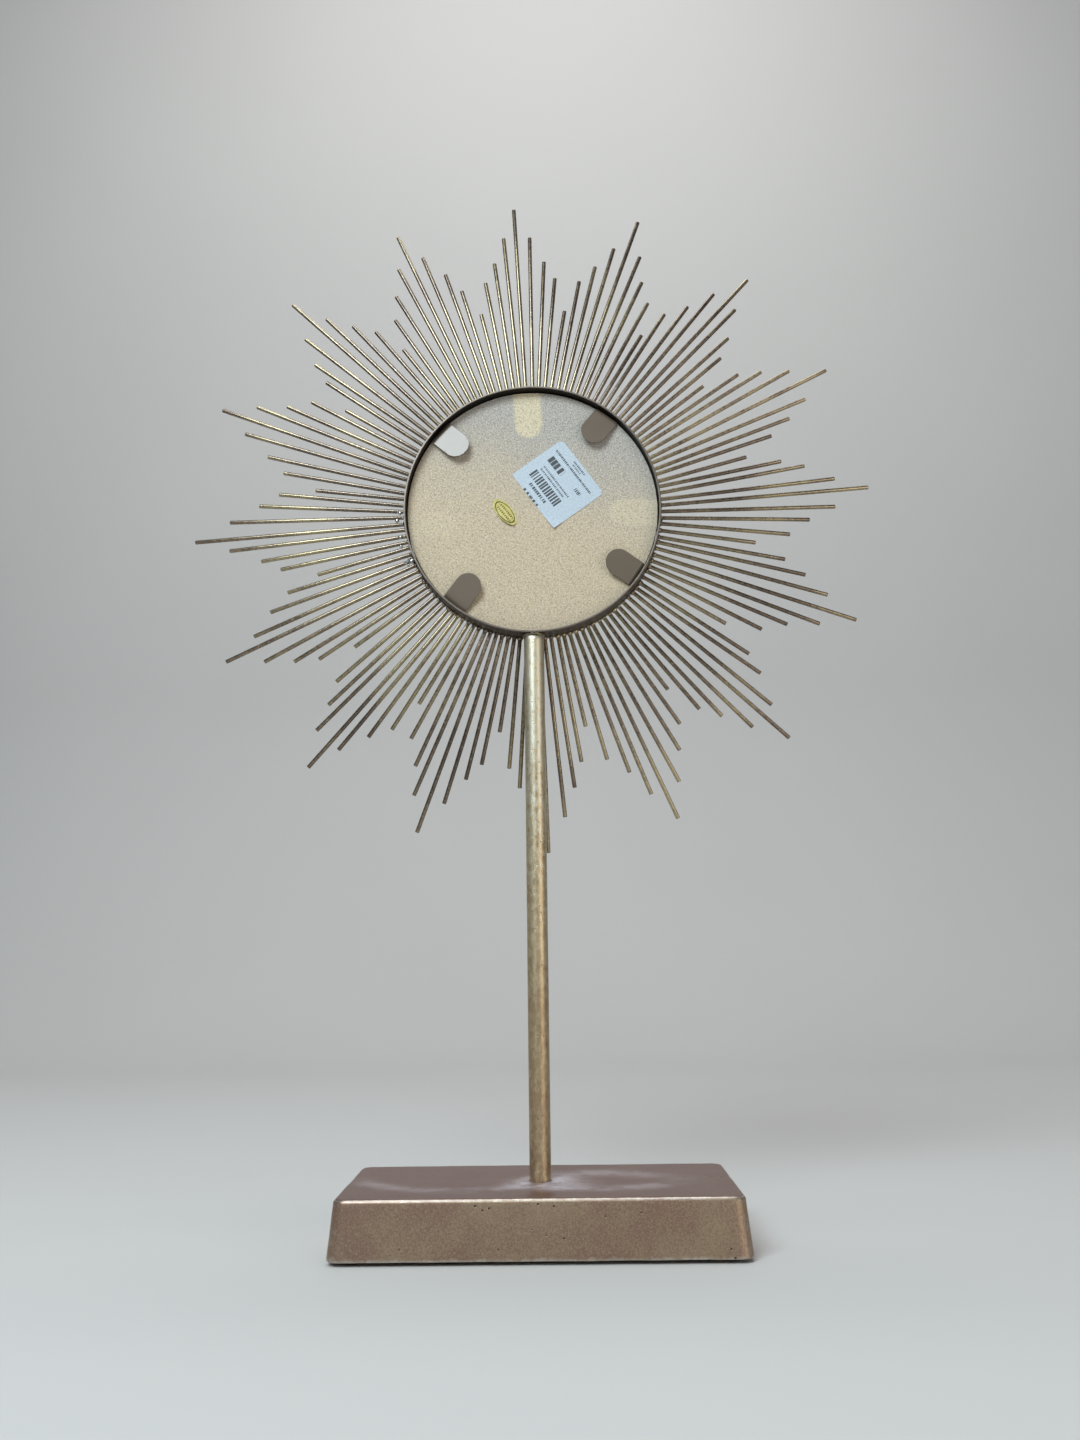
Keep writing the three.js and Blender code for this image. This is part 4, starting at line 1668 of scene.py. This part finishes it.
@dataclass
class Studio:
    """A pale floor that curves up into a backdrop, soft lights and the camera."""

    sky: Colour = (0.80, 0.84, 0.90)
    wall_tone: Colour = (0.86, 0.86, 0.85)
    sky_strength: float = 0.22
    seen_strength: float = 0.62
    half_width: float = 2.4
    front: float = 2.1
    bend_from: float = -1.1
    bend_radius: float = 0.7
    wall: float = 3.4
    camera_place: Triple = (-0.0125, 0.7403, 0.1542)
    camera_turn: Triple = (100.486, 0.715, -179.131)
    lens: float = 31.86
    lamps: tuple[Lamp, ...] = (
        Lamp("key", (0.55, 1.15, 1.30), (0.0, 0.0, 0.34), 0.90, 23.5, (0.80, 0.93, 1.0)),
        Lamp("fill", (-1.3, 1.3, 0.35), (0.0, 0.0, 0.25), 1.1, 7.0, (1.0, 0.93, 0.84)),
        Lamp("wall_wash", (0.0, -0.4, 2.6), (0.0, -1.6, 0.3), 1.8, 27.0),
    )

    def build(self) -> None:
        """Builds the stage, the lights and the camera."""
        self.backdrop()
        self.sky_light()
        for lamp in self.lamps:
            self.light(lamp)
        self.camera()

    def backdrop(self) -> None:
        """The floor and the wall behind the object, one curved sheet."""
        bm = bmesh.new()
        ends = [bm.verts.new((side * self.half_width, self.front, 0)) for side in (-1, 1)]
        made = bmesh.ops.extrude_edge_only(bm, edges=[bm.edges.new(ends)])
        far = [item for item in made["geom"] if isinstance(item, bmesh.types.BMVert)]
        bmesh.ops.translate(bm, verts=far, vec=(0, self.bend_from - self.front, 0))
        edge = [item for item in made["geom"] if isinstance(item, bmesh.types.BMEdge)
                and all(vert in far for vert in item.verts)]
        centre = (0, self.bend_from, self.bend_radius)
        made = bmesh.ops.spin(bm, geom=far + edge, cent=centre, axis=(1, 0, 0), angle=-QUARTER_TURN,
                              steps=24, use_duplicate=False)
        last = [item for item in made["geom_last"] if isinstance(item, bmesh.types.BMEdge)]
        made = bmesh.ops.extrude_edge_only(bm, edges=last)
        upper = [item for item in made["geom"] if isinstance(item, bmesh.types.BMVert)]
        bmesh.ops.translate(bm, verts=upper, vec=(0, 0, self.wall))
        for face in bm.faces:
            face.smooth = True
        cove = stand(bm, "cove")
        cove.data.materials.append(CoveTone().make())

    def sky_light(self) -> None:
        """The even light of the room, dim for the metal but pale where it is seen past the backdrop."""
        world = bpy.data.worlds.new("studio")
        bpy.context.scene.world = world
        world.use_nodes = True
        nodes = world.node_tree.nodes
        links = world.node_tree.links
        choice = nodes.new("ShaderNodeMixShader")
        links.new(nodes.new("ShaderNodeLightPath").outputs["Is Camera Ray"], choice.inputs[0])
        backgrounds = (
            (nodes["Background"], self.sky, self.sky_strength),
            (nodes.new("ShaderNodeBackground"), self.wall_tone, self.seen_strength),
        )
        for number, (background, tone, strength) in enumerate(backgrounds, 1):
            background.inputs["Color"].default_value = (*tone, 1)
            background.inputs["Strength"].default_value = strength
            links.new(background.outputs[0], choice.inputs[number])
        links.new(choice.outputs[0], nodes["World Output"].inputs["Surface"])

    def light(self, lamp: Lamp) -> None:
        """Stands one soft light in its place.

        Args:
            lamp: the light.
        """
        data = bpy.data.lights.new(lamp.name, "AREA")
        data.shape = "DISK"
        data.size = lamp.size
        data.energy = lamp.power
        data.color = lamp.colour
        shining = bpy.data.objects.new(lamp.name, data)
        shining.location = lamp.place
        away = Vector(lamp.aim) - Vector(lamp.place)
        shining.rotation_euler = away.to_track_quat("-Z", "Y").to_euler()
        bpy.context.scene.collection.objects.link(shining)

    def camera(self) -> None:
        """The camera behind the object, below its head, and colours shown as they are."""
        data = bpy.data.cameras.new("camera")
        data.sensor_fit = "VERTICAL"
        data.sensor_height = 36.0
        data.lens = self.lens
        eye = bpy.data.objects.new("camera", data)
        eye.location = self.camera_place
        eye.rotation_euler = [math.radians(angle) for angle in self.camera_turn]
        bpy.context.scene.collection.objects.link(eye)
        bpy.context.scene.camera = eye
        bpy.context.scene.view_settings.view_transform = "Standard"


# ------------------------------------------------------------------ assembly


def main() -> None:
    """Builds every piece in order around the frame."""
    logging.basicConfig(level=logging.INFO, format="%(name)s: %(message)s")
    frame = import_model()
    bench = Bench(frame["nodes"])
    head = Head(bench)
    head.build()
    Sticker(bench, "price_label", "sticker_sheet", "label_paper", StickerPaper(), right=15.7, up=16.5,
            length=43.0, width=38.0, turn=-54.5, corner=3.0, curl=16.0).build()
    Sticker(bench, "origin_label", "sticker_oval", "label_foil", StickerFoil(), right=-16.7, up=-1.1,
            length=20.0, width=9.4, turn=-52.0, curl=3.0, curl_from=0.1).build()
    star = Star(bench, head)
    star.build()
    star.spatter()
    Post(bench, head).build()
    Base(bench).build()
    Studio().build()


if __name__ == "__main__":
    main()
